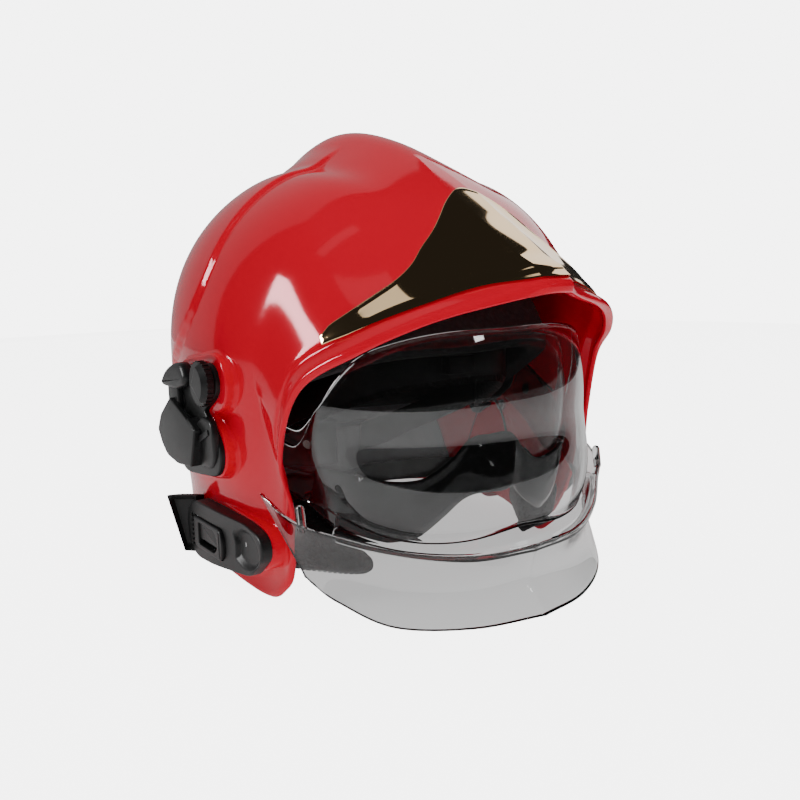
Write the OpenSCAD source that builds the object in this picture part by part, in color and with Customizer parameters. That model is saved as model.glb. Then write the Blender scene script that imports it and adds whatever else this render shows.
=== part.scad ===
/* [Shell] */
// Half width of the shell dome at its widest
shell_hw = 118.5; // [112:0.5:126]
// Reach of the dome in front of its centre
dome_front = 138; // [130:1:146]
// Reach of the dome behind its centre
dome_back = 134; // [126:1:142]
// Height of the side lobes above the dome centre
dome_up = 117; // [110:1:124]
// Wall of the moulded shell
shell_t = 3.2; // [2.4:0.1:4.5]
// Thickness of the rolled lip at the brow
lip_t = 6.2; // [4.5:0.1:8]
// How far the rear part of the shell stands proud of the front part
step_h = 2.3; // [1:0.1:3.5]

/* [Frontal plate] */
// Thickness of the gilt frontal plate
plate_t = 1.2; // [0.8:0.1:2]

/* [Shields] */
// Arc radius of the face shield about its hinge, at the centre line
face_r = 137; // [133:0.5:138]
// Thickness of the face shield
face_t = 2.5; // [1.8:0.1:3]
// Gap between the arcs of the two shields
shield_gap = 24; // [21.5:0.5:26]
// Thickness of the eye shield
eye_t = 2; // [1.5:0.1:2.5]
// Radius of the hinge studs
stud_r = 4; // [3:0.1:5]
// Running clearance round studs and pins
run = 0.06; // [0.03:0.01:0.1]

/* [Fittings] */
// Radius of the lamp clamp knob
knob_r = 13.5; // [11.5:0.5:14]
// Width of the chin strap webbing
web_w = 20; // [16:1:24]
// Radius of the adjuster knob at the nape
dial_r = 17; // [14:0.5:19]

/* [Hidden] */
$fn = 32;
ORG = [0, 18.833, 114.6];
FLOOR = -114.6;
O = [0, 0, 15];
HY = -5;
HZ = -10;
eye_r = face_r - shield_gap;
// Side fittings move out with the shell by SW, and what follows the shell widens by KX
SW = shell_hw - 118.5;
KX = shell_hw / 118.5;
POLE = [0, 0.5, 0.8660254];
NEXP = 2.2;
DOWN = 240;
TH = [0, 0.14, 0.29, 0.5, 0.8, 1.15, 1.6, 2.1, 2.6, 3.1, 3.5, 3.9, 4.3, 4.8, 5.3, 5.8, 6.4, 7,
  7.5, 8, 8.5, 9, 9.6, 10.3, 11, 11.7, 12.3, 12.9, 13.4, 13.75, 14];
TC = concat(TH, [for (i = [29:-1:1]) 28 - TH[i]]);
NU = 60;

// Rim of the shell from the middle of the brow round the wearer's left to the nape
RDRAWN = [[0, -168, 56], [28.6, -160, 52], [61.4, -148, 44], [88, -125, 29], [106, -97, 9],
  [111, -85, -28], [105.5, -86, -58], [101, -76, -92], [101, -66, -106], [102, -45, -115.5],
  [111, 0, -107], [107, 45, -103], [85, 90, -107], [45, 118, -114], [0, 125, -116]];
RH = [for (p = RDRAWN) [p[0] * KX, p[1], p[2]]];
RIM = concat(RH, [for (i = [13:-1:1]) [-RH[i][0], RH[i][1], RH[i][2]]]);
// Radius of the centre line against its angle, front to rear over the crown
PROF = [[-110, 181.6], [15.5, 178.4], [22.6, 160.4], [35.3, 140.6], [54.2, 129.5], [78.9, 129.8],
  [106.8, 139.5], [133.7, 143.9], [162, 137.7], [186.3, 136.3], [226.4, 181.1]];

function sm(t) = let (c = min(1, max(0, t))) c * c * (3 - 2 * c);
function cr(a, b, c, d, t) = 0.5 * ((2 * b) + (c - a) * t + (2 * a - 5 * b + 4 * c - d) * t * t
  + (3 * b - a - 3 * c + d) * t * t * t);
function loop(P, t) = let (n = len(P), i = floor(t), f = t - i)
  cr(P[(i - 1 + n) % n], P[i % n], P[(i + 1) % n], P[(i + 2) % n], f);
function path(P, t) = let (n = len(P), i = min(n - 2, max(0, floor(t))), f = t - i)
  cr(P[i == 0 ? 0 : i - 1] + (i == 0 ? P[0] - P[1] : [0, 0, 0]), P[i], P[i + 1],
    P[i + 2 < n ? i + 2 : n - 1] + (i + 2 < n ? [0, 0, 0] : P[n - 1] - P[n - 2]), f);
function slope(K, i) = i <= 0 || i >= len(K) - 1 ? 0
  : (K[i + 1][1] - K[i - 1][1]) / (K[i + 1][0] - K[i - 1][0]);
function herm(K, a) = let (q = [for (i = [0:len(K) - 2]) if (K[i][0] <= a) i], i = q[len(q) - 1],
    h = K[i + 1][0] - K[i][0], t = min(1, (a - K[i][0]) / h), m0 = slope(K, i) * h,
    m1 = slope(K, i + 1) * h, t2 = t * t, t3 = t2 * t)
  (2 * t3 - 3 * t2 + 1) * K[i][1] + (t3 - 2 * t2 + t) * m0 + (3 * t2 - 2 * t3) * K[i + 1][1]
  + (t3 - t2) * m1;
function dome(d) = pow(pow(abs(d[0]) / shell_hw, NEXP)
  + pow(abs(d[1]) / (d[1] < 0 ? dome_front : dome_back), NEXP)
  + pow(abs(d[2]) / (d[2] > 0 ? dome_up : DOWN), NEXP), -1 / NEXP);
function unit(p) = p / norm(p);
BROW = RIM[0] - O;
BROW_A = atan2(BROW[2], -BROW[1]);
BROW_F = norm(BROW) - dome(unit(BROW));
function brow_flare(a) = a > 100 ? 0
  : BROW_F * pow(min(1, max(0, 1 - (a - BROW_A) * PI / 180 * norm(BROW) / 60)), 2);
function crest(d, r, a) = let (w = sm((75 - a) / 35), q = abs(r * d[0]),
    c = herm(PROF, min(226, max(-109, a))) - dome([0, -cos(a), sin(a)]) - brow_flare(a),
    e = max(0, q - 8 * w) / (24 - 6 * w),
    k = (1 - w) * exp(-1.1 * e * e) + w * exp(-1.25 * e),
    v = 2.5 * exp(-pow((q - 40) / 12, 2)) * min(1, max(0, (150 - a) / 50)) * (1 - w))
  c * k * min(1, max(0, (a + 60) / 40)) * min(1, max(0, (215 - a) / 40)) - v;
// Point of the outer surface on column t, s millimetres up from the rim
function outer(t, s, off) = let (p = loop(RIM, t) - O, rr = norm(p), e = p / rr,
    om = acos(e * POLE), v = 1 - min(1, s / (om * PI / 180 * rr)),
    d = unit((sin((1 - v) * om) * POLE + sin(v * om) * e) / sin(om)),
    fr = min(1, max(0, (0.1 - e[1]) / 0.5)), len0 = 45 + 15 * fr,
    g = pow(max(0, 1 - s / len0), 2), a0 = atan2(d[2], -d[1]), a = a0 < -90 ? a0 + 360 : a0,
    r0 = dome(d) + (rr - dome(e)) * g, r1 = r0 + crest(d, r0, a), q = O + d * r1,
    yc = -6 + 0.0123 * pow(max(0, 75 - q[2]), 2),
    st = step_h * sm((q[1] - yc) / 6) * sm((q[2] + 95) / 25) * sm((abs(q[0]) - 18) / 16),
    bead = fr * (2.0 * exp(-pow((s - 4) / 3, 2)) - 1.0 * exp(-pow((s - 11) / 2.5, 2))))
  O + d * (r1 + st + bead - off);
function wall(t, s) = let (e = unit(loop(RIM, t) - O),
    fr = min(1, max(0, (0.1 - e[1]) / 0.5)) * sm((e[2] + 0.1) / 0.3))
  shell_t + (lip_t - shell_t) * fr * sm((14 - s) / 12);
function colr(t) = let (p = loop(RIM, t) - O, e = unit(p)) acos(e * POLE) * PI / 180 * norm(p);
SROW = [0, 3.5, 7, 11, 15, 22, 32, 44];
NB = 11;
function srow(t, k) = k < len(SROW) ? SROW[k]
  : 44 + (colr(t) - 44) * (k - len(SROW) + 1) / (NB + 1);
NV = len(SROW) + NB;

// Closed cup from an outer and an inner net that share a pole and an edge
module cup(po, pi, nu, nv) {
  pts = concat([for (j = [0:nv - 1]) for (i = [0:nu - 1]) po[j][i]],
    [for (j = [0:nv - 1]) for (i = [0:nu - 1]) pi[j][i]], [po[nv][0], pi[nv][0]]);
  m = nu * nv;
  faces = concat(
    [for (j = [0:nv - 2]) for (i = [0:nu - 1]) each let (a = j * nu + i, b = j * nu + (i + 1) % nu)
      [[a, b, b + nu], [a, b + nu, a + nu]]],
    [for (j = [0:nv - 2]) for (i = [0:nu - 1]) each
      let (a = m + j * nu + i, b = m + j * nu + (i + 1) % nu) [[b, a, a + nu], [b, a + nu, b + nu]]],
    [for (i = [0:nu - 1]) let (a = (nv - 1) * nu + i, b = (nv - 1) * nu + (i + 1) % nu) [a, b, 2 * m]],
    [for (i = [0:nu - 1]) let (a = m + (nv - 1) * nu + i, b = m + (nv - 1) * nu + (i + 1) % nu)
      [b, a, 2 * m + 1]],
    [for (i = [0:nu - 1]) each let (a = i, b = (i + 1) % nu) [[b, a, m + a], [b, m + a, m + b]]]);
  polyhedron(points = pts, faces = [for (f = faces) [f[2], f[1], f[0]]], convexity = 8);
}
// Closed slab between two open nets of the same size
module slab(A, B) {
  nv = len(A);
  nu = len(A[0]);
  m = nu * nv;
  pts = concat([for (r = A) each r], [for (r = B) each r]);
  function id(j, i) = j * nu + i;
  faces = concat(
    [for (j = [0:nv - 2]) for (i = [0:nu - 2]) each
      [[id(j, i), id(j, i + 1), id(j + 1, i + 1)], [id(j, i), id(j + 1, i + 1), id(j + 1, i)]]],
    [for (j = [0:nv - 2]) for (i = [0:nu - 2]) each
      [[m + id(j, i + 1), m + id(j, i), m + id(j + 1, i)],
       [m + id(j, i + 1), m + id(j + 1, i), m + id(j + 1, i + 1)]]],
    [for (i = [0:nu - 2]) each let (a = id(0, i), b = id(0, i + 1)) [[b, a, m + a], [b, m + a, m + b]]],
    [for (i = [0:nu - 2]) each let (a = id(nv - 1, i), b = id(nv - 1, i + 1))
      [[a, b, m + b], [a, m + b, m + a]]],
    [for (j = [0:nv - 2]) each let (a = id(j, 0), b = id(j + 1, 0)) [[a, b, m + b], [a, m + b, m + a]]],
    [for (j = [0:nv - 2]) each let (a = id(j, nu - 1), b = id(j + 1, nu - 1))
      [[b, a, m + a], [b, m + a, m + b]]]);
  polyhedron(points = pts, faces = [for (f = faces) [f[2], f[1], f[0]]], convexity = 8);
}
// Rod along X from x0 to x1 at (y, z)
module rod(x0, x1, y, z, r) {
  translate([min(x0, x1), y, z]) rotate([0, 90, 0]) cylinder(h = abs(x1 - x0), r = r);
}
module both() {
  children();
  mirror([1, 0, 0]) children();
}
// The same, for fittings that move out with the shell
module sides() {
  both() translate([SW, 0, 0]) children();
}

// Hinge surfaces of the two shields: X extent, exponent and arc radius by angle
FACE_A = shell_hw - 8.2;
EYE_A = FACE_A - 3.8;
function face_rho(f, w) = face_r + 15 * sm((-f - 2) / 22) * w;
function face_pt(t, f, off) = let (c = pow(abs(cos(t)), 0.8333),
    x = (FACE_A - off) * sign(t) * pow(abs(sin(t)), 0.8333), w = 1 - sm((abs(x) / KX - 78) / 18),
    r = (face_rho(f, w) - off) * c) [x, HY - r * cos(f), HZ + r * sin(f)];
function eye_pt(t, f, off) = let (c = pow(abs(cos(t)), 0.7143),
    x = (EYE_A - off) * sign(t) * pow(abs(sin(t)), 0.7143), r = (eye_r - off) * c)
  [x, HY - r * cos(f), HZ + r * sin(f)];
// Angle limits of each shield against |x|, turning into an arm near the hinge
FT = [[0, 20], [70, 20], [84, 15], [94, 4], [101, -9], [112, -9]];
FB = [[0, -22.8], [34, -25], [66, -27], [92, -28.6], [100, -36], [112, -36]];
ET = [[0, 21], [62, 21], [75, 18.5], [84, 12], [91, 2], [97, -5], [112, -5]];
EB = [[0, 3], [6, 2], [11, -3], [17, -12], [28, -17.5], [45, -19.5], [62, -19.5], [80, -18],
  [97, -22], [112, -22]];
function arm(x, r, lim, c, hw, x0, x1, s) = let (w = sm((abs(x) - x0) / (x1 - x0)))
  lim * (1 - w) + (c + s * asin(min(0.93, hw / max(r, 1)))) * w;
function fcol(t) = let (p = face_pt(t, -25, 0), x = abs(p[0]) / KX, r = norm([p[1] - HY, p[2] - HZ]))
  [arm(x, r, herm(FB, x), -25, 17, 94, 102, -1), arm(x, r, herm(FT, x), -25, 17, 94, 102, 1)];
function ecol(t) = let (p = eye_pt(t, -14, 0), x = abs(p[0]) / KX, r = norm([p[1] - HY, p[2] - HZ]))
  [arm(x, r, herm(EB, x), -14, 11, 92, 99, -1), arm(x, r, herm(ET, x), -14, 11, 92, 99, 1)];
TF = [-86, -82, -77, -72, -66, -60, -54, -48, -42, -36, -30, -24, -18, -12, -6, 0];
TFF = concat(TF, [for (i = [14:-1:0]) -TF[i]]);
TE = [-88, -84.5, -82, -77, -72, -66, -60, -54, -48, -42, -36, -30, -24, -19, -15, -11, -8, -5, -2.5, 0];
TEE = concat(TE, [for (i = [18:-1:0]) -TE[i]]);
function net(T, col, n, pt, off) = [for (j = [0:n - 1]) [for (t = T) let (c = col(t))
  pt(t, c[0] + (c[1] - c[0]) * j / (n - 1), off)]];

// Skirt of the face shield: top and bottom curves from the middle to the ear
ST = [[0, -157, -77], [36, -150.5, -77], [68, -133, -73.5], [94, -111, -65.5], [110.5, -95.5, -58.5],
  [117.5, -72, -47]];
SB = [[0, -164.5, -112.5], [39, -153, -113.8], [74, -131.5, -111.5], [93, -108, -101], [100, -96, -94],
  [103, -91, -90]];
function skirt(s, v, off) = let (a = path(ST, abs(s) * 5), b = path(SB, abs(s) * 5),
    p = a * (1 - v) + b * v, g = s < 0 ? -1 : 1,
    m = [p[0] * 1.25, p[1] + 20, 0], bow = 8.5 * sin(180 * v) * (1 - s * s))
  [g * p[0] * KX, p[1], p[2]] - [g * m[0], m[1], 0] / norm(m) * (off + bow);
function lip_in(s, off) = let (t = s * 48, c = fcol(t), p = face_pt(t, c[0] + 0.6, 0.8)) p + [0, 0, off];
function ledge_out(s, off) = let (p = skirt(s, 0, 1.2), k = 0.62) skirt(s * k, 0.02, 1.2) + [0, 0, off];

// Nose and cheek guard under the eye shield
GT = [[0, -6.5], [14, -7], [24, -12], [40, -17.5], [62, -18.2], [80, -16.5], [96, -17], [112, -17]];
GB = [[0, -19], [12, -19.5], [24, -25], [40, -31], [58, -35.5], [74, -36.5], [88, -33], [95, -27],
  [112, -26]];
GR = [[0, 14.5], [9, 13], [19, 7], [29, 8], [44, 11], [60, 9.5], [70, 7], [80, 3.5], [88, 0.5],
  [112, 0.5]];
function gcol(t) = let (x = abs(eye_pt(t, 0, 0)[0]) / KX) [herm(GB, x), herm(GT, x)];
function guard_pt(t, v, off) = let (c = gcol(t), f = c[0] + (c[1] - c[0]) * v, p = eye_pt(t, f, off - 2.9),
    x = abs(p[0]) / KX, k = herm(GR, x) * pow(sm(1.15 * (1 - v)), 0.8))
  [p[0], p[1] - k * cos(f), p[2] + k * sin(f)];
TG = [-50, -46, for (t = [-42:4:-14]) t, -11, -8, -5.5, -3, 0, 3, 5.5, 8, 11, for (t = [14:4:42]) t, 46, 50];

// Liner and the soft pieces that follow its inside
LR = [[0, -112, 24], [60, -94, 20], [88, -50, 2], [97, -10, -20], [99, 30, -36], [80, 85, -45],
  [0, 125, -48]];
LRIM = concat(LR, [for (i = [5:-1:1]) [-LR[i][0], LR[i][1], LR[i][2]]]);
LO = [0, HY, HZ];
LX = 101 + SW;
LY = eye_r - 5;
function liner_r(d) = let (a = atan2(d[2], -d[1]), up = LY + 26 * sm((a - 68) / 24) * (d[2] > 0 ? 1 : 0))
  pow(pow(abs(d[0]) / LX, 2.6) + pow(norm([d[1] / (d[1] < 0 ? LY : 129), d[2] / up]), 2.6), -1 / 2.6);
function liner_pt(t, v, off) = let (e = unit(loop(LRIM, t) - LO), om = acos(e * POLE),
    d = unit((sin((1 - v) * om) * POLE + sin(v * om) * e) / sin(om))) LO + d * (liner_r(d) - off);
function liner_th(t) = let (e = unit(loop(LRIM, t) - LO)) 15 + 5 * sm(e[1] + 0.6);
// Slot and fitting stations on the sides
LAMP_S = [[-28, -21], [2, -37]];
ANC_S = [[-50, -80], [-20, -84]];
CAR_S = [[18, 11], [18, -36]];
KNOB = [-25, 7.5];
PIN = [16, -22];
STR_Y = 40;
STR_Z = -88;
LAMP_X = 121;
ANC_X = 113.2;

module stud_hole(y, z, r) {
  both() rod(60, 160, y, z, r);
}
// Two-lobed pad that carries the lamp holder or its blank cap
module seat(x0, x1, d) {
  hull() {
    rod(x0, x1, -26, 7, 17 - d);
    rod(x0, x1, 11, 3, 14 - d);
  }
  hull() {
    rod(x0, x1, -24, -32, 15 - d);
    rod(x0, x1, 10, -36, 15 - d);
    rod(x0, x1, 11, 0, 13 - d);
  }
}
module outer_shell() {
  po = [for (j = [0:NV - 1]) [for (i = [0:NU - 1]) outer(TC[i], srow(TC[i], j), 0)],
    [outer(0, 1e6, 0)]];
  pi = [for (j = [0:NV - 1]) [for (i = [0:NU - 1]) outer(TC[i], srow(TC[i], j), wall(TC[i], SROW[min(j, 7)]))],
    [outer(0, 1e6, shell_t)]];
  color([0.72, 0.02, 0.04]) difference() {
    union() {
      cup(po, pi, NU, NV);
      sides() {
        // Raised seat under the lamp holder
        seat(113.2, LAMP_X, 0);
        // Raised seat under the mask anchor
        hull() {
          rod(101.5, ANC_X, -60, -80, 13);
          rod(107.5, ANC_X, 8, -84, 20);
        }
      }
    }
    sides() {
      for (p = LAMP_S) {
        rod(105, 130, p[0], p[1], 2, $fn = 16);
        rod(105, 113.2, p[0], p[1], 4.4, $fn = 24);
      }
      for (p = ANC_S) {
        rod(90, 130, p[0], p[1], 2, $fn = 16);
        rod(90, p[0] < -40 ? 101.7 : 105.2, p[0], p[1], 4.4, $fn = 24);
      }
      for (p = CAR_S) {
        rod(105, 119.5, p[0], p[1], 1.5, $fn = 16);
        rod(105, 113.2, p[0], p[1], 5.4, $fn = 24);
      }
      rod(90, 106.5, STR_Y, STR_Z, 2.1, $fn = 16);
    }
    translate([-200, -200, FLOOR - 50]) cube([400, 400, 50]);
  }
}
TP = [0, 0.14, 0.29, 0.5, 0.8, 1.15, 1.6, 2.1, 2.6, 3.1, 3.25, 3.35, 3.42];
module frontal_plate() {
  n = 13;
  T = [for (i = [12:-1:1]) -TP[i], for (i = [0:12]) TP[i]];
  function top(t) = herm([[0, 95], [0.14, 94], [0.42, 88], [0.75, 78], [1.05, 66], [1.3, 56],
    [1.6, 46], [1.84, 37], [2.13, 30.5], [2.47, 26.5], [2.85, 23.5], [3.25, 21], [3.42, 18]], abs(t));
  function low(t) = herm([[0, 8], [0.42, 9], [1.05, 12], [2, 11], [3, 12.5], [3.42, 13.5]], abs(t));
  function pp(t, j, off) = let (s0 = low(t), s = s0 + (top(t) - s0) * j / (n - 1), c = (t + 28) % 28)
    outer(c, s, -off);
  color([0.62, 0.5, 0.24]) slab([for (j = [0:n - 1]) [for (t = T) pp(t, j, plate_t + 0.5)]],
    [for (j = [0:n - 1]) [for (t = T) pp(t, j, 0.5)]]);
}
module impact_liner() {
  nu = 36;
  nv = 8;
  s = 12 / nu;
  po = [for (j = [0:nv - 1]) [for (i = [0:nu - 1]) liner_pt(i * s, 1 - j / nv, 0)], [liner_pt(0, 0, 0)]];
  pi = [for (j = [0:nv - 1]) [for (i = [0:nu - 1])
      liner_pt(i * s, 1 - j / nv, liner_th(i * s) + (j == 0 ? -1 : 0))],
    [liner_pt(0, 0, 22)]];
  color([0.06, 0.06, 0.06]) cup(po, pi, nu, nv);
}
module face_shield() {
  n = 7;
  color([0.8, 0.85, 0.88, 0.35]) difference() {
    union() {
      slab(net(TFF, function (t) fcol(t), n, function (t, f, o) face_pt(t, f, o), 0),
        net(TFF, function (t) fcol(t), n, function (t, f, o) face_pt(t, f, o), face_t));
      both() rod(FACE_A - face_t, FACE_A, HY, HZ, 18);
      S = [for (i = [-13:13]) i / 13];
      slab([[for (s = S) ledge_out(s, -1.2)], [for (s = S) ledge_out(s, 1.2)]],
        [[for (s = S) lip_in(s, -1.2)], [for (s = S) lip_in(s, 1.2)]]);
      K = [for (i = [-17:17]) i / 17];
      slab([for (j = [4:-1:0]) [for (s = K) skirt(s, j / 4, 0)]],
        [for (j = [4:-1:0]) [for (s = K) skirt(s, j / 4, face_t)]]);
    }
    stud_hole(HY, HZ, stud_r + run);
  }
}
module eye_shield() {
  n = 7;
  color([0.85, 0.88, 0.9, 0.3]) difference() {
    union() {
      slab(net(TEE, function (t) ecol(t), n, function (t, f, o) eye_pt(t, f, o), 0),
        net(TEE, function (t) ecol(t), n, function (t, f, o) eye_pt(t, f, o), eye_t));
      both() rod(EYE_A - eye_t, EYE_A, HY, HZ, 13);
    }
    stud_hole(HY, HZ, stud_r + run);
    rivets(1.62);
  }
}
// Small clear stops that the ends of the ledge carry beside the shell rim
module edge_stops() {
  color([0.85, 0.88, 0.9, 0.4]) sides() hull() {
    translate([107.2, -96, -51]) sphere(r = 2.4, $fn = 16);
    translate([107.2, -97.5, -61]) sphere(r = 2.4, $fn = 16);
  }
}
module nose_guard() {
  n = 7;
  color([0.02, 0.02, 0.02]) difference() {
    slab([for (j = [0:n - 1]) [for (t = TG) guard_pt(t, j / (n - 1), 0)]],
      [for (j = [0:n - 1]) [for (t = TG) guard_pt(t, j / (n - 1), 2.4)]]);
    rivets(1.62);
  }
}
module rivets(r) {
  for (x = [-72, -36, 36, 72]) let (f = herm(EB, abs(x)) + 0.9,
      t = asin(pow(abs(x) * KX / EYE_A, 1.4)) * sign(x), p = eye_pt(t, f, 0))
    translate(p) rotate([90 - f, 0, 0]) translate([0, 0, -2.6]) cylinder(h = 6, r = r, $fn = 16);
}
module guard_rivets() {
  color([0.55, 0.55, 0.57]) rivets(1.6);
}

// Band round the head, as a plan curve with a drop towards the nape
BX = (77 + SW) / 77;
BY = (eye_r - 27) / 86;
HB = [[0, -86], [46, -77], [71, -34], [77, 8], [70, 52], [60, 78], [48, 94.5]];
function band(s, z, off) = let (g = s < 0 ? -1 : 1, a = path(HB, abs(s) * 6),
    p = [a[0] * BX, a[1] * (a[1] < 0 ? BY : 1)], q = [p[0], p[1] * 0.75],
    c = -24 - 42 * a[1] / 94, n = q / norm(q)) [g * (p[0] - n[0] * off), p[1] - n[1] * off, c + z];
module headband() {
  K = [for (i = [-20:20]) i / 20];
  color([0.05, 0.05, 0.05]) slab([for (z = [-10, 10]) [for (s = K) band(s, z, 0)]],
    [for (z = [-10, 10]) [for (s = K) band(s, z, 1.6)]]);
}
module brow_pad() {
  K = [for (i = [-8:8]) i / 20];
  color([0.08, 0.07, 0.06]) slab([for (z = [-14, -9, 9, 14]) [for (s = K) band(s, z, 2.0)]],
    [for (z = [-14, -9, 9, 14]) [for (s = K) band(s, z, abs(z) > 10 ? 4.5 : 8)]]);
}
module crown_cradle() {
  function cp(d, off) = let (u = unit(d), e = unit([d[0], d[1], 0]), a = asin(u[2]))
    LO + u * (liner_r(u) - (15.7 + 5 * sm(e[1] + 0.6)) * (1 - sm((a - 30) / 30)) - 24 * sm((a - 30) / 30) - off);
  K = [for (i = [0:16]) 20 + i * 8.75];
  color([0.1, 0.1, 0.1]) {
    slab([for (w = [-0.13, 0.13]) [for (a = K) cp([-w, -cos(a), sin(a)], 0)]],
      [for (w = [-0.13, 0.13]) [for (a = K) cp([-w, -cos(a), sin(a)], 1.8)]]);
    slab([for (w = [-0.13, 0.13]) [for (a = K) cp([cos(a), -w, sin(a)], 0)]],
      [for (w = [-0.13, 0.13]) [for (a = K) cp([cos(a), -w, sin(a)], 1.8)]]);
  }
}
module cradle_clips() {
  color([0.04, 0.04, 0.04]) {
    for (h = [[0, -1], [1, 0], [0, 1], [-1, 0]]) let (a = 25,
        u = unit([h[0] * cos(a), h[1] * cos(a), sin(a)]),
        r = liner_r(u) - (15.7 + 5 * sm(h[1] + 0.6)))
      translate(LO + u * (r - 2.1)) rotate([0, 0, atan2(h[1], h[0])]) rotate([0, -a, 0])
        translate([-1.8, -9, -3.5]) cube([1.8, 18, 7]);
    translate([-9, 19 - eye_r, 8]) cube([18, 8.1, 10]);
    sides() translate([76.9, -3, -25]) cube([6.4, 18, 9]);
  }
}
module cheek_pad_left() {
  color([0.05, 0.045, 0.04]) translate([SW, 113 - eye_r, 0]) hull() {
    for (p = [[88, -46, -60, 8], [88, -44, -92, 8], [82, -82, -76, 7], [72, -89, -88, 8],
        [60, -83, -94, 7], [96.7, -40, -96, 6]]) translate([p[0], p[1], p[2]]) sphere(r = p[3], $fn = 24);
  }
}
module cheek_pad_right() {
  mirror([1, 0, 0]) cheek_pad_left();
}
module neck_lining() {
  T = [for (t = TC) if (t > 10.9 && t < 17.1) t];
  color([0.42, 0.43, 0.45]) difference() {
    slab([for (j = [1:8]) [for (t = T) outer(t, srow(t, j), 4.6)]],
      [for (j = [1:8]) [for (t = T) outer(t, srow(t, j), 6.1)]]);
    both() rod(80, 130, STR_Y, STR_Z, 8, $fn = 20);
  }
}
module carrier_left() {
  color([0.05, 0.05, 0.05]) translate([SW, 0, 0]) difference() {
    union() {
      hull() {
        rod(101.3, 104, HY, HZ, 16);
        for (p = CAR_S) rod(101.3, 104, p[0], p[1], 8);
      }
      for (p = CAR_S) rod(103, 113.1, p[0], p[1], 5);
    }
    rod(90, 120, HY, HZ, stud_r);
    for (p = CAR_S) {
      rod(90, 120, p[0], p[1], 1.56, $fn = 16);
      rod(90, 103.2, p[0], p[1], 3.1, $fn = 24);
    }
  }
}
module carrier_right() {
  mirror([1, 0, 0]) carrier_left();
}
module hinge_studs() {
  color([0.6, 0.6, 0.62]) sides() {
    rod(101.3, 110.8, HY, HZ, stud_r);
    rod(110.7, 112.4, HY, HZ, stud_r + 4);
  }
}
module hinge_washers() {
  color([0.85, 0.85, 0.8]) sides() difference() {
    rod(106.75, 107.55, HY, HZ, 11);
    rod(100, 115, HY, HZ, stud_r + run);
  }
}
module carrier_screws() {
  color([0.5, 0.5, 0.52]) sides() for (p = CAR_S) {
    rod(103, 119, p[0], p[1], 1.5, $fn = 16);
    rod(101.5, 103.15, p[0], p[1], 3, $fn = 24);
  }
}

// Lamp holder on the wearer's right, which is the -X side
module prism(x0, x1, P) {
  translate([x0, 0, 0]) rotate([90, 0, 90]) linear_extrude(x1 - x0) polygon(P);
}
module lamp_base() {
  color([0.04, 0.04, 0.04]) mirror([1, 0, 0]) translate([SW, 0, 0]) difference() {
    union() {
      seat(LAMP_X, LAMP_X + 3, 2.5);
      prism(LAMP_X + 2.9, 131.4, [[-12.6, -41.6], [8, -43.5], [24, -41], [32, -35], [34, -31.5],
        [-16, -31.5]]);
      prism(128.4, 131.4, [[15, -5], [31, -17], [37, -27], [34, -31.6], [-16, -31.6], [-20.4, -19]]);
      prism(LAMP_X + 2.9, 131.4, [[-20.4, -19], [-9, -13.6], [-9, -31.6], [-16, -31.6]]);
      prism(LAMP_X + 2.9, 127.5, [[-15, -15.5], [-22, -11.5], [-34, -12.5], [-36.5, -20], [-35, -32],
        [-28, -41], [-12, -42.5], [-12, -31.6]]);
      rod(LAMP_X + 2.9, LAMP_X + 3.6, KNOB[0], KNOB[1], 9);
      rod(LAMP_X + 2.9, LAMP_X + 3.6, PIN[0], PIN[1], 8.5);
    }
    rod(110, 140, KNOB[0], KNOB[1], 2.5);
    rod(110, 140, PIN[0], PIN[1], 2.5);
    for (p = LAMP_S) rod(110, LAMP_X + 5, p[0], p[1], 2, $fn = 16);
  }
}
module lamp_arm() {
  color([0.04, 0.04, 0.04]) mirror([1, 0, 0]) translate([SW, 0, 0]) difference() {
    union() {
      hull() {
        rod(LAMP_X + 3.65, 128.3, PIN[0], PIN[1], 8);
        rod(LAMP_X + 3.65, 128.3, 17, 2, 7.5);
      }
      prism(LAMP_X + 3.65, 131.2, [[-4, 17], [6, 16.5], [16, 13.5], [24, 9], [29, 3.5], [27, 0.5],
        [8, 0.5], [-6, 4], [-9.5, 9]]);
    }
    rod(110, 140, PIN[0], PIN[1], 2.5 + run);
  }
}
module lamp_knob() {
  color([0.03, 0.03, 0.03]) mirror([1, 0, 0]) translate([SW + LAMP_X + 3.65, KNOB[0], KNOB[1]])
    difference() {
      union() {
        rod(0, 4.8, 0, 0, knob_r - 0.8);
        translate([4.7, 0, 0]) rotate([0, 90, 0]) cylinder(h = 2.6, r1 = knob_r - 0.8, r2 = knob_r - 3.3);
        for (i = [0:19]) rotate([i * 18, 0, 0]) translate([0.3, knob_r - 1.6, -0.9]) cube([4.4, 1.6, 1.8]);
      }
      rod(-5, 5, 0, 0, 2.5 + run);
      for (a = [35, 125]) rotate([a, 0, 0]) translate([5.4, -16, -16.2]) cube([3, 32, 10]);
    }
}
module lamp_bolt() {
  color([0.6, 0.6, 0.62]) mirror([1, 0, 0]) rod(SW + LAMP_X + 0.2, SW + LAMP_X + 8.5, KNOB[0], KNOB[1], 2.5);
}
module lamp_pin() {
  color([0.6, 0.6, 0.62]) mirror([1, 0, 0]) rod(SW + LAMP_X + 0.2, SW + 131.3, PIN[0], PIN[1], 2.5);
}
module fitting_screws() {
  color([0.5, 0.5, 0.52]) sides() {
    for (p = LAMP_S) {
      rod(113, LAMP_X + 4.5, p[0], p[1], 2, $fn = 16);
      rod(111.4, 113.15, p[0], p[1], 3.8, $fn = 24);
    }
    for (p = ANC_S) {
      rod(p[0] < -40 ? 101 : 105, p[0] < -40 ? 117.5 : 116.9, p[0], p[1], 2, $fn = 16);
      rod(p[0] < -40 ? 99.6 : 102.5, p[0] < -40 ? 101.6 : 105.1, p[0], p[1], 3.8, $fn = 24);
    }
  }
}
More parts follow.
